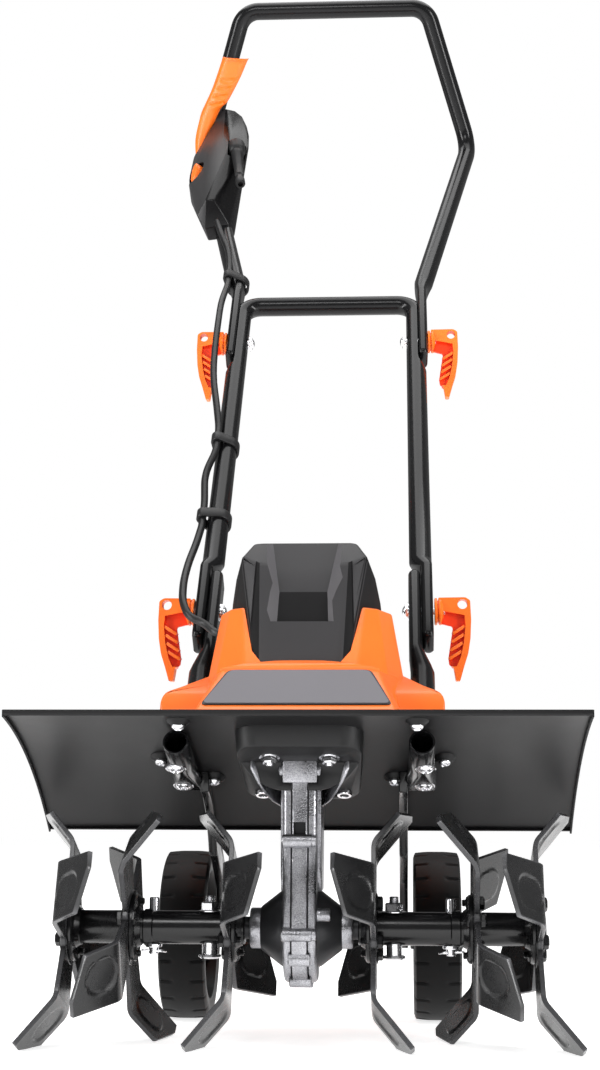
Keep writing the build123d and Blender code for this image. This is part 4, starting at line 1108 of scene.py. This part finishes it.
class BuildWheels(bpy.types.Operator):
    """Two transport wheels: a crowned tyre with slotted shoulders on a ribbed disc"""
    bl_idname = "tiller.wheels"
    bl_label = "Wheels"

    def execute(self, context):
        depth = context.scene.tiller_sizes.tread_depth * 1000
        outer, half, slots = 75.0, 21.0, 24
        crown = [(outer - 0.045 * max(0, abs(x) - 6) ** 1.5 / 2, x) for x in range(-19, 20, 2)]
        wall = [(66, -half), (69.5, -half + 0.1), (72.0, -half + 0.9)]
        inner = [(56.5, 17), (55, 6.5), (54.5, 3), (54.5, -3), (55, -6.5), (56.5, -17)]
        outline = [*wall, *crown, *[(r, -x) for r, x in reversed(wall)], (62, 20.2), (57.5, 19.6), *inner,
                   (57.5, -19.6), (62, -20.2)]
        for side_name, side in SIDES:
            loops = []
            steps = slots * 10
            for step in range(steps):
                angle = 2 * pi * step / steps
                slot = depth if step % 10 == 0 else 0.0
                loops.append([
                    on_wheel(side, radius - (slot if radius > 70 and abs(along) > 8 else 0.0), angle, along)
                    for radius, along in outline
                ])
            tyre = skin(loops, ring=True)
            hub = on_wheel(side, 0, 0)
            disc = turned([(6.1, -24), (11.5, -24), (12.5, -23), (13, -6), (15, -3.4), (50, -2.8),
                           (54.6, -4.5), (55.4, -6), (55.4, 6), (54.6, 4.5), (50, 2.8), (15, 3.4), (13, 6),
                           (12.5, 23), (11.5, 24), (6.1, 24)], hub, (1, 0, 0), 72, closed=True)
            for i in range(6):
                spot = on_wheel(side, hole_circle, pi / 3 * i, -30)
                disc = carved(disc, cylinder(11, 0, 60, spot, (1, 0, 0), 40))
            for i in range(6):
                angle = pi / 3 * (i + 0.5)
                spoke = prism([(12, -1.5), (54.8, -1.5), (54.8, 1.5), (12, 1.5)], on_wheel(side, 0, 0, -13),
                              (0, cos(angle), sin(angle)), (0, -sin(angle), cos(angle)), 26)
                gather(disc, eased(spoke, 0.6, 2))
            rim = turned([(11.5, -2), (14.5, -2), (14.5, 2), (11.5, 2)], hub, (1, 0, 0), 40, closed=True)
            for i in range(6):
                ring = turned([(11.0, -7), (12.8, -7), (13.2, -6), (13.2, 6), (12.8, 7), (11.0, 7)],
                              on_wheel(side, hole_circle, pi / 3 * i), (1, 0, 0), 40, closed=True)
                gather(disc, ring)
            gather(tyre, disc, rim)
            piece(f"wheel_dressed_{side_name}", tyre, f"wheel_{side_name}", "tyre plastic",
                  (f"wheel_{side_name}",), 34)
        return {"FINISHED"}


stay_x = 98.0
stay_radius = 10.5


class BuildStays(bpy.types.Operator):
    """The wheel stays: open tube ends bolted under the guard, and the pressed bars down to the axle"""
    bl_idname = "tiller.stays"
    bl_label = "Wheel stays"

    def execute(self, context):
        for side_name, side in SIDES:
            start, end = (on_guard(side * stay_x, y, 1.2 + stay_radius) for y in (-60, -14))
            flat = on_guard(side * stay_x, 30, 6)
            ahead = (end - start).normalized()
            route = [start, start + ahead * 0.8, end, *[end.lerp(flat, t) for t in (0.25, 0.5, 0.75)], flat,
                     flat + (flat - end).normalized() * 8]
            shapes = [section(radius, radius, 11, 9) for radius in (stay_radius - 0.5, stay_radius,
                                                                    stay_radius)]
            for t in (0.25, 0.5, 0.75, 1, 1):
                wide = stay_radius + (13 - stay_radius) * t
                thick = stay_radius + (4.3 - stay_radius) * t
                shapes.append(section(wide, thick, stay_radius + (4 - stay_radius) * t, 9))
            tube = swept(route, shapes, -guard_down(-40))
            bore = turned([(0, -2), (stay_radius - 1.7, -2), (stay_radius - 1.7, 40), (stay_radius - 4, 46),
                           (0, 46)], start, ahead, 40)
            tube = carved(tube, bore)
            bar = node_copy(f"wheel_stay_{side_name}")
            bmesh.ops.holes_fill(bar, edges=cut_off(bar, (side * 87.2, 0, 0), (side, 0, 0)))
            gather(tube, eased(bar, 1.1, 2, 40))
            piece(f"stay_{side_name}", tube, "chassis", "rotor paint",
                  (f"wheel_stay_{side_name}",), 34)
            screws = bmesh.new()
            for y in (-24, 27):
                foot = on_guard(side * (stay_x + 3), y, 1.2)
                down = guard_down(y)
                reach = 2 * stay_radius - 0.6 if y < 0 else 10.5
                gather(screws, button_screw(foot + down * reach, down, 6.4, 3.6, 8.4))
            piece(f"stay_screws_{side_name}", screws, "chassis", "zinc")
        axle = turned([(0, -144), (5.6, -144), (6, -143.4), (6, 143.4), (5.6, 144), (0, 144)],
                      (0, wheel_y, wheel_z), (1, 0, 0), 36)
        for side in (-1, 1):
            cap = turned([(0, 137.5), (9.6, 137.5), (10, 138), (10, 141), (8.5, 143.6), (5, 144), (0, 144)],
                         (0, wheel_y, wheel_z), (side, 0, 0), 36)
            gather(axle, cap)
        piece("axle_rod", axle, "chassis", "zinc", ("wheel_axle",), 36)
        return {"FINISHED"}


# ------------------------------------------------------------------ handle tubes
press_half = 13.6
press_thick = 11.9
tongue_gap = 0.15
flat_x = leg_x + 1.6
tube_round = section(handle_tube, handle_tube, handle_tube, 9)
flat_end = 56.0


def pressed(thick=press_thick, thin=0.0):
    """The section of a pressed tube end."""
    return section(thick / 2 - thin, press_half - thin, 5.5, 9)


def flattening(share, thick=press_thick, opening=False):
    """The section part of the way from round tube to pressed tongue, or back again where opening."""
    first, second = (handle_tube,) * 3, (thick / 2, press_half, 5.5)
    if opening:
        first, second = second, first
    return section(*[low + (high - low) * share for low, high in zip(first, second)], 9)


def eased_end(tip, sign, centre, thick=press_thick):
    """Stations that close a pressed tongue with rounded lips at tip; sign is the way out along the leg."""
    return [(centre, tip - sign * short, pressed(thick, thin))
            for short, thin in ((5.0, 0.0), (2.6, 0.5), (1.0, 1.5), (0.0, 3.4))]


def whole_loop(left, further):
    """A tube swept through the left leg's stations of x, s and section, on as round tube through further
    points to the middle, and down the right leg as its mirror image."""
    half_route = [leg_point(x, s) for x, s, _ in left] + further
    shapes = [shape for _, _, shape in left] + [tube_round] * len(further)
    whole = half_route + [Vector((-p.x, p.y, p.z)) for p in reversed(half_route[:-1])]
    return swept(whole, shapes + shapes[-2::-1], leg_front)


class BuildLowerTubes(bpy.types.Operator):
    """The two lower handle tubes, pressed flat at the fold"""
    bl_idname = "tiller.lower_tubes"
    bl_label = "Lower tubes"

    def execute(self, context):
        foot_s, round_s, flat_s, tip_s = -168, -84, -58, 48
        for side_name, side in SIDES:
            inside = side * (leg_x - tongue_gap - press_thick / 2)
            stations = [(side * leg_x, s, tube_round) for s in (foot_s, round_s)]
            for t in (0.2, 0.5, 0.8):
                stations.append((side * leg_x + (inside - side * leg_x) * t, round_s + (flat_s - round_s) * t,
                                 flattening(t)))
            stations.append((inside, flat_s, pressed()))
            stations += eased_end(tip_s, 1, inside)
            tube = swept([leg_point(x, s) for x, s, _ in stations], [shape for _, _, shape in stations],
                         leg_front)
            piece(f"lower_leg_{side_name}", tube, "chassis", "gloss paint",
                  (f"lower_tube_{side_name}",), 40)
        return {"FINISHED"}


class BuildMiddleFrame(bpy.types.Operator):
    """The middle frame: a bent tube with a cross bar, pressed at both folds"""
    bl_idname = "tiller.middle_frame"
    bl_label = "Middle frame"

    def execute(self, context):
        corner_s, top_s = 22.0, 531.0
        outside = -(leg_x + tongue_gap + press_thick / 2)
        left = eased_end(-45, -1, outside)[::-1]
        left.append((outside, flat_end, pressed()))
        for t in (0.25, 0.5, 0.75):
            left.append((outside + (-leg_x - outside) * t, flat_end + 14 * t, flattening(t, opening=True)))
        for s in (flat_end + 14, 200, 300, 380, 394, 398, 403, 409, 416, 440, 480):
            left.append((-leg_x, s, tube_round))
        bend = rounded_route([leg_point(-leg_x, 485), leg_point(-leg_x, top_s), leg_point(0, top_s)],
                             corner_s, radians(5))
        frame_tube = whole_loop(left, bend[1:])
        flat_from, flat_to = pivot_s["upper"] - 60, pivot_s["upper"] - 44
        for vert in frame_tube.verts:
            s = (vert.co - leg_origin).dot(leg_up)
            share = min(1.0, max(0.0, (s - flat_from) / (flat_to - flat_from)))
            limit = leg_x + handle_tube + (flat_x - leg_x - handle_tube) * share
            if abs(vert.co.x) > limit:
                vert.co.x = limit if vert.co.x > 0 else -limit
        piece("middle_tube", frame_tube, "middle_frame", "gloss paint", ("middle_frame",), 40)
        return {"FINISHED"}


flare_s, flare_round = 550.0, 576.0
bend_x, bend_s = 177.0, 915.0
top_x, top_reach = 121.0, 181.0
grip_dir = Vector((0, cos(radians(110)), sin(radians(110))))
tongue_x = flat_x + 0.3 + 5.5
flare_x = tongue_x - 2.0


def upper_points(side):
    """Where the upper handle's flared leg starts, bends and meets the grip bar, on one side."""
    bend = leg_point(side * bend_x, bend_s)
    top = Vector((side * top_x, bend.y, bend.z)) + grip_dir * top_reach
    share = (flare_round - flare_s) / (bend_s - flare_s)
    start = leg_point(side * (flare_x + (bend_x - flare_x) * share), flare_round)
    return start, bend, top


class BuildUpperHandle(bpy.types.Operator):
    """The upper handle: pressed legs, a wide bend and the grip bar"""
    bl_idname = "tiller.upper_handle"
    bl_label = "Upper handle"

    def execute(self, context):
        thick = 11.0
        end_s = 418.0
        left = eased_end(end_s, -1, -tongue_x, thick)[::-1]
        left.append((-tongue_x, flare_s, pressed(thick)))
        start, bend, top = upper_points(-1)
        for t in (0.25, 0.5, 0.75):
            s = flare_s + (flare_round - flare_s) * t
            left.append((-tongue_x + (start.x + tongue_x) * t * t, s, flattening(t, thick, True)))
        loop = rounded_route([start, bend, top, Vector((0, top.y, top.z))], (40, 27), radians(5))
        piece("grip_tube", whole_loop(left, loop), "upper_handle", "gloss paint",
              ("upper_handle",), 40)
        return {"FINISHED"}


# ------------------------------------------------------------------ clamps
lever_outline = ((117.5, 12.6), (143.0, 12.9), (147.4, 10), (148.2, -8), (147.4, -26), (145.2, -40),
                 (141.4, -52), (137.4, -66), (133.6, -66), (131.6, -54), (127.4, -50.5), (126.6, -44.5),
                 (131.2, -14.6), (123, -12.6), (117.5, -11.8))
lever_corners = (0.8, 5, 3, 20, 20, 20, 14, 1.2, 1.2, 2, 1.5, 2, 2.5, 6, 0.8)
pocket_outline = ((118.6, 0.5), (141.9, -4), (142.8, -14), (141.2, -30), (138.0, -44), (134.2, -52.5),
                  (122, -52), (122, -44), (126, -20), (112, -20))
lever_half = 7.0
lever_web = 2.2


def lever_form(joint, collar_x):
    """A cam lever on the right side of a joint: a holed plate with a ribbed pocket in both faces."""
    pivot = pivots[joint]
    shift = collar_x + 3.6 - lever_outline[0][0]
    outline = [(x + shift, z) for x, z in lever_outline]
    plate = front_prism(rounded_outline(outline, lever_corners), pivot.y + lever_half,
                        2 * lever_half, pivot.z)
    rims = [edge for edge in plate.edges if edge.calc_face_angle(0) > 1]
    bevelled(plate, rims, 1.0)
    hole = cylinder(4.7, -10, 10, (140.2 + shift, pivot.y, pivot.z + 6.4), (0, 1, 0))
    plate = carved(plate, hole)
    for face in (-1, 1):
        front = pivot.y + (12 if face > 0 else -lever_web)
        pocket = front_prism([(x + shift, z) for x, z in pocket_outline], front, 12 - lever_web, pivot.z)
        plate = carved(plate, pocket)
    for i in range(4):
        high = (142.6 - 1.2 * i + shift, -14.0 - 8.0 * i)
        low = (130.6 - 1.15 * i + shift, -21.6 - 7.9 * i)
        run = (Vector(high) - Vector(low)).normalized()
        across = Vector((-run.y, run.x)) * 1.6
        bar = [Vector(low) - across, Vector(high) - across, Vector(high) + across, Vector(low) + across]
        rib = front_prism([(p.x, p.y) for p in bar], pivot.y + 6.2, 12.4, pivot.z)
        plate = joined(plate, eased(rib, 0.7, 2))
    collar = turned([(4.1, 0), (12.2, 0), (12.9, 0.6), (12.9, 2.0), (12.2, 2.6), (10.4, 2.8), (10.4, 3.6),
                     (12.2, 3.8), (12.9, 4.4), (12.9, 6.0), (12.2, 6.6), (9.5, 7.6), (7.5, 8.4), (4.1, 8.4)],
                    (collar_x, pivot.y, pivot.z), (1, 0, 0), 44, closed=True)
    return gather(plate, collar), shift


class BuildClamps(bpy.types.Operator):
    """The four clamp bolts with their nuts, and the four orange cam levers"""
    bl_idname = "tiller.clamps"
    bl_label = "Cam levers and bolts"

    def execute(self, context):
        for joint, collar_x, body in (("lower", 113.9, "chassis"), ("upper", 114.8, "middle_frame")):
            for side_name, side in SIDES:
                lever, shift = lever_form(joint, collar_x)
                pivot = pivots[joint]
                if side < 0:
                    mirrored(lever)

                # painted shade: the faces inside the ribbed pockets take the darker orange
                def in_shaded_pocket(place, normal, pivot=pivot, shift=shift):
                    x, z = abs(place.x) - shift, place.z - pivot.z
                    inside = 118.4 < x < 142.95 and -53 < z < 0.7 - max(0, x - 118.6) * 0.19
                    return inside and abs(place.y - pivot.y) < 6.0 and (x > 121 or z > -12)

                piece(f"{joint}_lever_{side_name}", lever, body, "orange plastic",
                      (f"{joint}_cam_lever_{side_name}",), 32, (("orange painted shade", in_shaded_pocket),))
                bolt = turned([(0, 88), (3.9, 88), (3.9, 123.4), (3.4, 124), (0, 124)],
                              (0, pivot.y, pivot.z), (side, 0, 0), 28)
                seat = Vector((side * 89.2, pivot.y, pivot.z))
                gather(bolt, cylinder(8.6, 0, 0.9, seat, (-side, 0, 0)),
                       turned([(0, 0.9), (7.5, 0.9), (7.5, 2.6), (6.6, 3.2), (0, 3.2)], seat,
                              (-side, 0, 0), 6),
                       turned([(0, 3), (5.4, 3), (4.9, 4.2), (3.6, 5.2), (1.8, 5.8), (0, 6)], seat,
                              (-side, 0, 0), 24))
                piece(f"{joint}_bolt_{side_name}", bolt, body, "zinc",
                      (f"{joint}_clamp_bolt_{side_name}",), 36)
        return {"FINISHED"}


# ------------------------------------------------------------------ switch box and bail
# x, s and n of the box's corners on the leg: first the front, then the sides, then round the tube
box_corners = (
    (-158.7, 938.0, 48.0), (-147.6, 937.0, 52.0), (-134.9, 935.0, 50.0), (-124.5, 925.5, 46.0),
    (-117.5, 906.0, 42.0),
    (-113.4, 885.0, 38.0), (-144.5, 849.0, 52.0), (-135.3, 833.0, 53.0), (-111.3, 846.0, 42.0),
    (-158.3, 718.0, 38.0), (-148.0, 718.0, 39.0), (-128.9, 741.0, 26.0),
    (-190.2, 814.0, 12.0), (-189.0, 881.0, 10.0), (-170.0, 710.0, 22.0),
    (-159.7, 697.0, 10.0), (-129.5, 704.0, 12.0), (-124.0, 704.0, -8.0), (-156.0, 697.0, -8.0),
    (-187.0, 800.0, -12.0), (-192.0, 880.0, -12.0), (-132.0, 800.0, -12.0), (-136.0, 880.0, -12.0),
    (-182.0, 918.0, 14.0), (-140.0, 916.0, 12.0),
)


def hull_of(points):
    """The closed flat-sided form round a set of points."""
    bm = bmesh.new()
    for point in points:
        bm.verts.new(point)
    result = bmesh.ops.convex_hull(bm, input=bm.verts)
    bmesh.ops.delete(bm, geom=[v for v in result["geom_interior"] if isinstance(v, bmesh.types.BMVert)],
                     context="VERTS")
    return bm


class BuildSwitchBox(bpy.types.Operator):
    """The switch box on the left grip, with its lead inlet, plug stub and safety button"""
    bl_idname = "tiller.switch_box"
    bl_label = "Switch box"

    def execute(self, context):
        box = eased(hull_of([leg_point(*corner) for corner in box_corners]), 1.6, 3, 16)
        inlet = leg_point(-126.0, 832, 46)
        tip = leg_point(-112.5, 716, 52)
        down = (tip - inlet).normalized()
        mouth = turned([(0, -14), (12.5, -14), (13, 18), (0, 18)], inlet, down, 36)
        seat = leg_point(-181, 820, 20)
        outward = (-0.86, -0.42, 0.28)
        dish = cylinder(17, -9, 9, seat, outward, 40)
        piece("switch_case", carved(box, mouth, dish), "upper_handle", "box plastic",
              ("switch_box",), 26, (("gloss plastic", lambda place, normal: normal.x > -0.22),))
        stub = turned([(0, -12), (11.3, -12), (11.3, 4), (9.6, 8), (8.2, 9), (8.2, 18), (7.4, 19), (6.8, 48),
                       (6.2, 49), (5.8, 76), (4.4, 77), (4.4, 86), (6.0, 87), (6.2, 98), (5.2, 100),
                       (3.4, 100), (3.4, 94), (0, 94)], inlet, down, 40)
        piece("inlet_plug", stub, "upper_handle", "black plastic", (), 40)
        button = turned([(0, -7), (8.5, -7), (8.5, 1.2), (7.6, 2.6), (5, 3.4), (0, 3.8)], seat, outward, 40)
        button = moved(button,
                       Matrix.Translation(seat) @ Matrix.Diagonal((1, 1, 1.6,
                                                                   1)) @ Matrix.Translation(-seat))
        piece("lock_button", button, "upper_handle", "orange plastic",
              ("safety_button",), 36)
        return {"FINISHED"}


# left and right edge of the bail lever at each level, going up
bail_rows = (
    ((-186.8, 778, 1046), (-179.0, 774, 1050)), ((-188.9, 776, 1072), (-170.0, 768, 1075)),
    ((-182.6, 766, 1095.9), (-156.6, 757, 1100.7)), ((-174.5, 756, 1112), (-145.5, 748, 1110)),
    ((-164.7, 746, 1128), (-135.0, 740, 1124)), ((-156.5, 736, 1143), (-124.6, 733, 1140)),
    ((-149.5, 727, 1157), (-116.3, 727, 1155)), ((-146.6, 723.5, 1163), (-112.6, 723.5, 1160)),
)


class BuildBail(bpy.types.Operator):
    """The orange bail lever in front of the left grip, with its finger grooves and turned lip"""
    bl_idname = "tiller.bail"
    bl_label = "Bail lever"

    def execute(self, context):
        rows = [(Vector(left), Vector(right)) for left, right in bail_rows]
        fine = []
        for i in range(12 * (len(rows) - 1) + 1):
            at = i / 12
            k = min(int(at), len(rows) - 2)
            before, after = rows[max(k - 1, 0)], rows[min(k + 2, len(rows) - 1)]
            t = at - k
            pair = []
            for edge in (0, 1):
                p0, p1, p2, p3 = before[edge], rows[k][edge], rows[k + 1][edge], after[edge]
                pair.append(0.5 * (2 * p1 + (p2 - p0) * t + (2 * p0 - 5 * p1 + 4 * p2 - p3) * t * t
                                   + (3 * p1 - p0 - 3 * p2 + p3) * t * t * t))
            fine.append(pair)
        loops = []
        columns = 14
        for i, (left, right) in enumerate(fine):
            below, above = fine[max(i - 1, 0)], fine[min(i + 1, len(fine) - 1)]
            along = ((above[0] + above[1]) - (below[0] + below[1])).normalized()
            across = (right - left).normalized()
            out = across.cross(along).normalized()
            if out.y > 0:
                out.negate()
            front, back = [], []
            for column in range(columns + 1):
                share = column / columns
                bow = (3.4 * (1 - (2 * share - 1) ** 2) - 5.0 * max(0.0, 1 - share / 0.12)
                       - 3.0 * max(0.0, (share - 0.9) / 0.1))
                level = (i / 12 - 2.7 - 0.5 * (share - 0.62) ** 2) / 0.575
                groove = 0.0
                if 0 <= level < 4 and 0.34 < share < 0.88:
                    groove = 2.2 * max(0.0, 1 - abs((level % 1) - 0.5) / 0.3)
                lip = 2.6 if i >= len(fine) - 5 else 0.0
                centre = left.lerp(right, share)
                front.append(centre + out * (bow - groove + lip))
                back.append(centre + out * (bow - 3.2))
            loops.append(front + back[::-1])
        piece("bail_plate", skin(loops), "upper_handle", "orange plastic",
              ("bail_lever",), 50)
        return {"FINISHED"}


# ------------------------------------------------------------------ lead and clips
lead_radius = 3.75
lead_gap = 0.3
clip_length = 18.0
# name, s up the leg, x and n of the lead's middle, x of the tube, and the body the clip rides with
clips = (
    ("low", 135.0, -116.6, 8.0, -leg_x, "middle_frame"),
    ("middle", 256.0, -110.6, 13.0, -leg_x, "middle_frame"),
    ("high", 578.0, -121.0, 14.0, -110.5, "upper_handle"),
)


def lead_form(points, held=()):
    """A stretch of lead through its route, each corner as round as its two runs allow; held lists the
    straight runs in a clip with the length that stays straight at their ends."""
    held = dict(held)
    points = [Vector(p) for p in points]
    runs = [(end - start).length for start, end in zip(points, points[1:])]
    room = [held.get(i, 0.45 * run) for i, run in enumerate(runs)]
    radii = []
    for i, (before, corner, after) in enumerate(zip(points, points[1:], points[2:])):
        turn = (corner - before).angle(after - corner)
        radii.append(min(room[i], room[i + 1]) / tan(turn / 2))
    return swept(rounded_route(points, radii, radians(2.5)),
                 section(lead_radius, lead_radius, lead_radius, 6), (0.3, -0.8, 0.5))


class BuildLead(bpy.types.Operator):
    """The clipped lead from the hood's gland up to the switch box, with its clips"""
    bl_idname = "tiller.lead"
    bl_label = "Lead and clips"

    def execute(self, context):
        low, middle, high = clips
        low_end, high_end = low[1] - clip_length / 2, high[1] - clip_length / 2 - lead_gap
        entry = Vector((-66.2, 142.0, 346.0))
        from_hood = [entry, (-86.0, 142.0, 346.0)]
        # name, node, body, points off the leg, places up the leg, and the runs that are held straight
        runs = (
            ("low", "lower", "chassis", from_hood,
             ((-100, -42, 25), (-115, -34, 26), (-123, -12, 25), (-125, 18, 22), (-124, 54, 15),
              (-119.5, 90, 9.5), (low[2], low_end - 8, low[3]), (low[2], low_end - lead_gap, low[3])), ()),
            ("middle", "middle", "middle_frame", [],
             ((low[2], low_end, low[3]), (low[2], low[1] + 20, low[3]), (-120, 200, 10),
              (middle[2], middle[1] - 20, middle[3]), (middle[2], middle[1] + 20, middle[3]),
              (-115, 310, 16), (-123, 362, 18), (-125, 414, 20), (-125, 466, 21), (-125, 514, 19),
              (high[2], high_end - 12, high[3]), (high[2], high_end, high[3])), ((0, 10), (3, 10))),
            ("high", "upper", "upper_handle", [],
             ((high[2], high_end + lead_gap, high[3]), (high[2], high[1] + 20, high[3]), (-125, 632, 17),
              (-135, 662, 20), (-143.5, 696, 20)), ((0, 10),)),
        )
        for name, node, body, points, places, held in runs:
            run = lead_form([*points, *[leg_point(*place) for place in places]], held)
            piece(f"lead_{name}_run", run, body, "lead rubber", (f"lead_{node}",), 60)
        for name, s, clip_x, clip_n, tube_x, body in clips:
            strap_route = []
            tube_middle, lead_middle = Vector((tube_x, 0)), Vector((clip_x, clip_n))
            gap = lead_middle - tube_middle
            turn = atan2(gap.y, gap.x)
            outer_tube, outer_lead = handle_tube + 1.4, lead_radius + 1.5
            lean = (outer_tube - outer_lead) / gap.length
            spread_angle = pi / 2 - lean
            for i in range(25):
                a = turn + spread_angle + (2 * pi - 2 * spread_angle) * i / 24
                strap_route.append(leg_point(tube_x + outer_tube * cos(a), s, outer_tube * sin(a)))
            for i in range(13):
                a = turn - spread_angle + 2 * spread_angle * i / 12
                strap_route.append(leg_point(clip_x + outer_lead * cos(a), s, clip_n + outer_lead * sin(a)))
            half = clip_length / 2 - 2.5
            loops = []
            count = len(strap_route)
            for i, point in enumerate(strap_route):
                ahead = (strap_route[(i + 1) % count] - strap_route[i - 1]).normalized()
                out = ahead.cross(leg_up)
                if out.dot(point - leg_point(tube_x, s, 0)) < 0:
                    out.negate()
                loops.append([point + leg_up * a * half + out * b for a, b in
                              ((-1, -1.0), (-1, 0.7), (-0.86, 1.2), (0.86, 1.2), (1, 0.7), (1, -1.0))])
            strap = skin(loops, ring=True)
            knuckle = leg_point(tube_x + handle_tube * 0.2, s, -handle_tube - 4.5)
            lock = eased(prism([(-4, -6), (4, -6), (4, 6), (-4, 6)], knuckle - leg_front * 2.5,
                               (1, 0, 0), leg_up, 5), 1.0, 2)
            gather(strap, lock)
            piece(f"clip_{name}", strap, body, "black plastic", (f"lead_clip_{name}",), 40)
        gland = turned([(lead_radius + 0.1, 14), (5.4, 14), (6.2, 12), (6.2, 3), (8.4, 2.4), (9.2, 1.6),
                        (9.2, -4), (lead_radius + 0.1, -4)], entry + Vector((-0.4, 0, 0)), (-1, 0, 0),
                       36, closed=True)
        piece("gland", gland, "chassis", "black plastic", ("lead_gland",), 40)
        return {"FINISHED"}


class FinishSolids(bpy.types.Operator):
    """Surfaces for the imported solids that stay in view"""
    bl_idname = "tiller.finish_solids"
    bl_label = "Surfaces of the solids"

    def execute(self, context):
        looks = {"motor": "cast", "output_shaft": "hub paint and gap shade"}
        for name, node in frame["nodes"].items():
            look = looks.get(name, "black plastic")
            for slot in node.material_slots:
                slot.material = surfaces()[look]
        return {"FINISHED"}


# ------------------------------------------------------------------ stage
def soft_lamp(name, place, target, size, power):
    """A soft rectangular lamp aimed at a point."""
    data = bpy.data.lights.new(name, "AREA")
    data.shape = "RECTANGLE"
    data.size, data.size_y = size
    data.energy = power
    lamp = placed(name, data)
    lamp.location = place
    lamp.rotation_euler = (Vector(target) - Vector(place)).to_track_quat("-Z", "Y").to_euler()


class BuildStage(bpy.types.Operator):
    """The pale floor, the soft studio light and the camera"""
    bl_idname = "tiller.stage"
    bl_label = "Studio"

    def execute(self, context):
        scene = context.scene
        floor = bmesh.new()
        bmesh.ops.create_grid(floor, x_segments=8, y_segments=8, size=9)
        mesh = mesh_of("studio_floor", floor)
        stage = placed("studio_floor", mesh)
        material, nodes, links, shader = shader_nodes("pale floor")
        place = nodes.new("ShaderNodeTexCoord")
        links.new(spread(nodes, links, noise(nodes, links, place, 3.0).outputs["Fac"], 0.55, 0.65),
                  shader.inputs["Roughness"])
        set_inputs(shader, Base_Color=(0.93, 0.93, 0.93, 1), Specular_IOR_Level=0.1,
                   Emission_Color=(1, 1, 1, 1), Emission_Strength=0.74)
        mesh.materials.append(material)
        world = bpy.data.worlds.new("studio")
        world.use_nodes = True
        sky, air = world.node_tree.nodes, world.node_tree.links
        set_inputs(sky["Background"], Color=(1, 1, 1, 1), Strength=0.26)
        backdrop = sky.new("ShaderNodeBackground")
        set_inputs(backdrop, Color=(1, 1, 1, 1))
        seen = sky.new("ShaderNodeLightPath")
        choice = sky.new("ShaderNodeMixShader")
        air.new(seen.outputs["Is Camera Ray"], choice.inputs["Fac"])
        air.new(sky["Background"].outputs["Background"], choice.inputs[1])
        air.new(backdrop.outputs["Background"], choice.inputs[2])
        air.new(choice.outputs["Shader"], sky["World Output"].inputs["Surface"])
        scene.world = world
        power = scene.tiller_sizes.lamp_power
        for name, place, target, size, share in (
                ("left strip", (-2.2, -1.3, 1.2), (0, 0, 0.5), (0.5, 2.6), 1.0),
                ("right strip", (2.2, -1.5, 1.2), (0, 0, 0.5), (0.5, 2.6), 1.0),
                ("front top", (-0.5, -2.8, 2.4), (0, -0.2, 0.4), (1.2, 0.7), 0.35),
                ("overhead", (0, 0.4, 3.2), (0, 0, 0), (2.6, 2.6), 0.9)):
            soft_lamp(name, place, target, size, power * share)
        scene.view_settings.view_transform = "Standard"
        data = bpy.data.cameras.new("view")
        data.lens = scene.tiller_sizes.lens
        data.sensor_width = 36
        data.clip_end = 60
        camera = placed("view", data)
        yaw, pitch, roll = 0.0557, 0.1537, 0.0032
        forward = Vector((-sin(yaw) * cos(pitch), cos(yaw) * cos(pitch), sin(pitch)))
        right = Vector((cos(yaw), sin(yaw), 0))
        up = right.cross(forward)
        right, up = right * cos(roll) + up * sin(roll), up * cos(roll) - right * sin(roll)
        eye = Vector((79.8, -1477.1, 94.5 + shaft_height))
        camera.matrix_world = Matrix.Translation(to_row @ eye) @ Matrix((right, up,
                                                                         -forward)).transposed().to_4x4()
        scene.camera = camera
        return {"FINISHED"}


OPERATORS = (BuildStage, BuildStars, BuildTineTubes, BuildGearbox, BuildGuard, BuildMotorBase, BuildHood,
             BuildHousing, BuildNosePanel, BuildWheels, BuildStays, BuildLowerTubes, BuildMiddleFrame,
             BuildUpperHandle, BuildClamps, BuildSwitchBox, BuildBail, BuildLead, FinishSolids)


class TillerPanel(bpy.types.Panel):
    """Lists the tiller's pieces in the sidebar"""
    bl_idname = "VIEW3D_PT_tiller"
    bl_label = "Electric tiller"
    bl_space_type = "VIEW_3D"
    bl_region_type = "UI"
    bl_category = "Tiller"

    def draw(self, context):
        for group in (context.scene.tiller_sizes, context.scene.tiller_colours):
            for name in group.__annotations__:
                self.layout.prop(group, name)
        for operator in OPERATORS:
            self.layout.operator(operator.bl_idname)


CLASSES = (TillerColours, TillerSizes, *OPERATORS, TillerPanel)


def register():
    for cls in CLASSES:
        bpy.utils.register_class(cls)
    bpy.types.Scene.tiller_colours = bpy.props.PointerProperty(type=TillerColours)
    bpy.types.Scene.tiller_sizes = bpy.props.PointerProperty(type=TillerSizes)


def unregister():
    del bpy.types.Scene.tiller_sizes
    del bpy.types.Scene.tiller_colours
    for cls in reversed(CLASSES):
        bpy.utils.unregister_class(cls)


def main():
    """Build everything in order."""
    register()
    for operator in OPERATORS:
        group, action = operator.bl_idname.split(".")
        getattr(getattr(bpy.ops, group), action)()


if __name__ == "__main__":
    main()
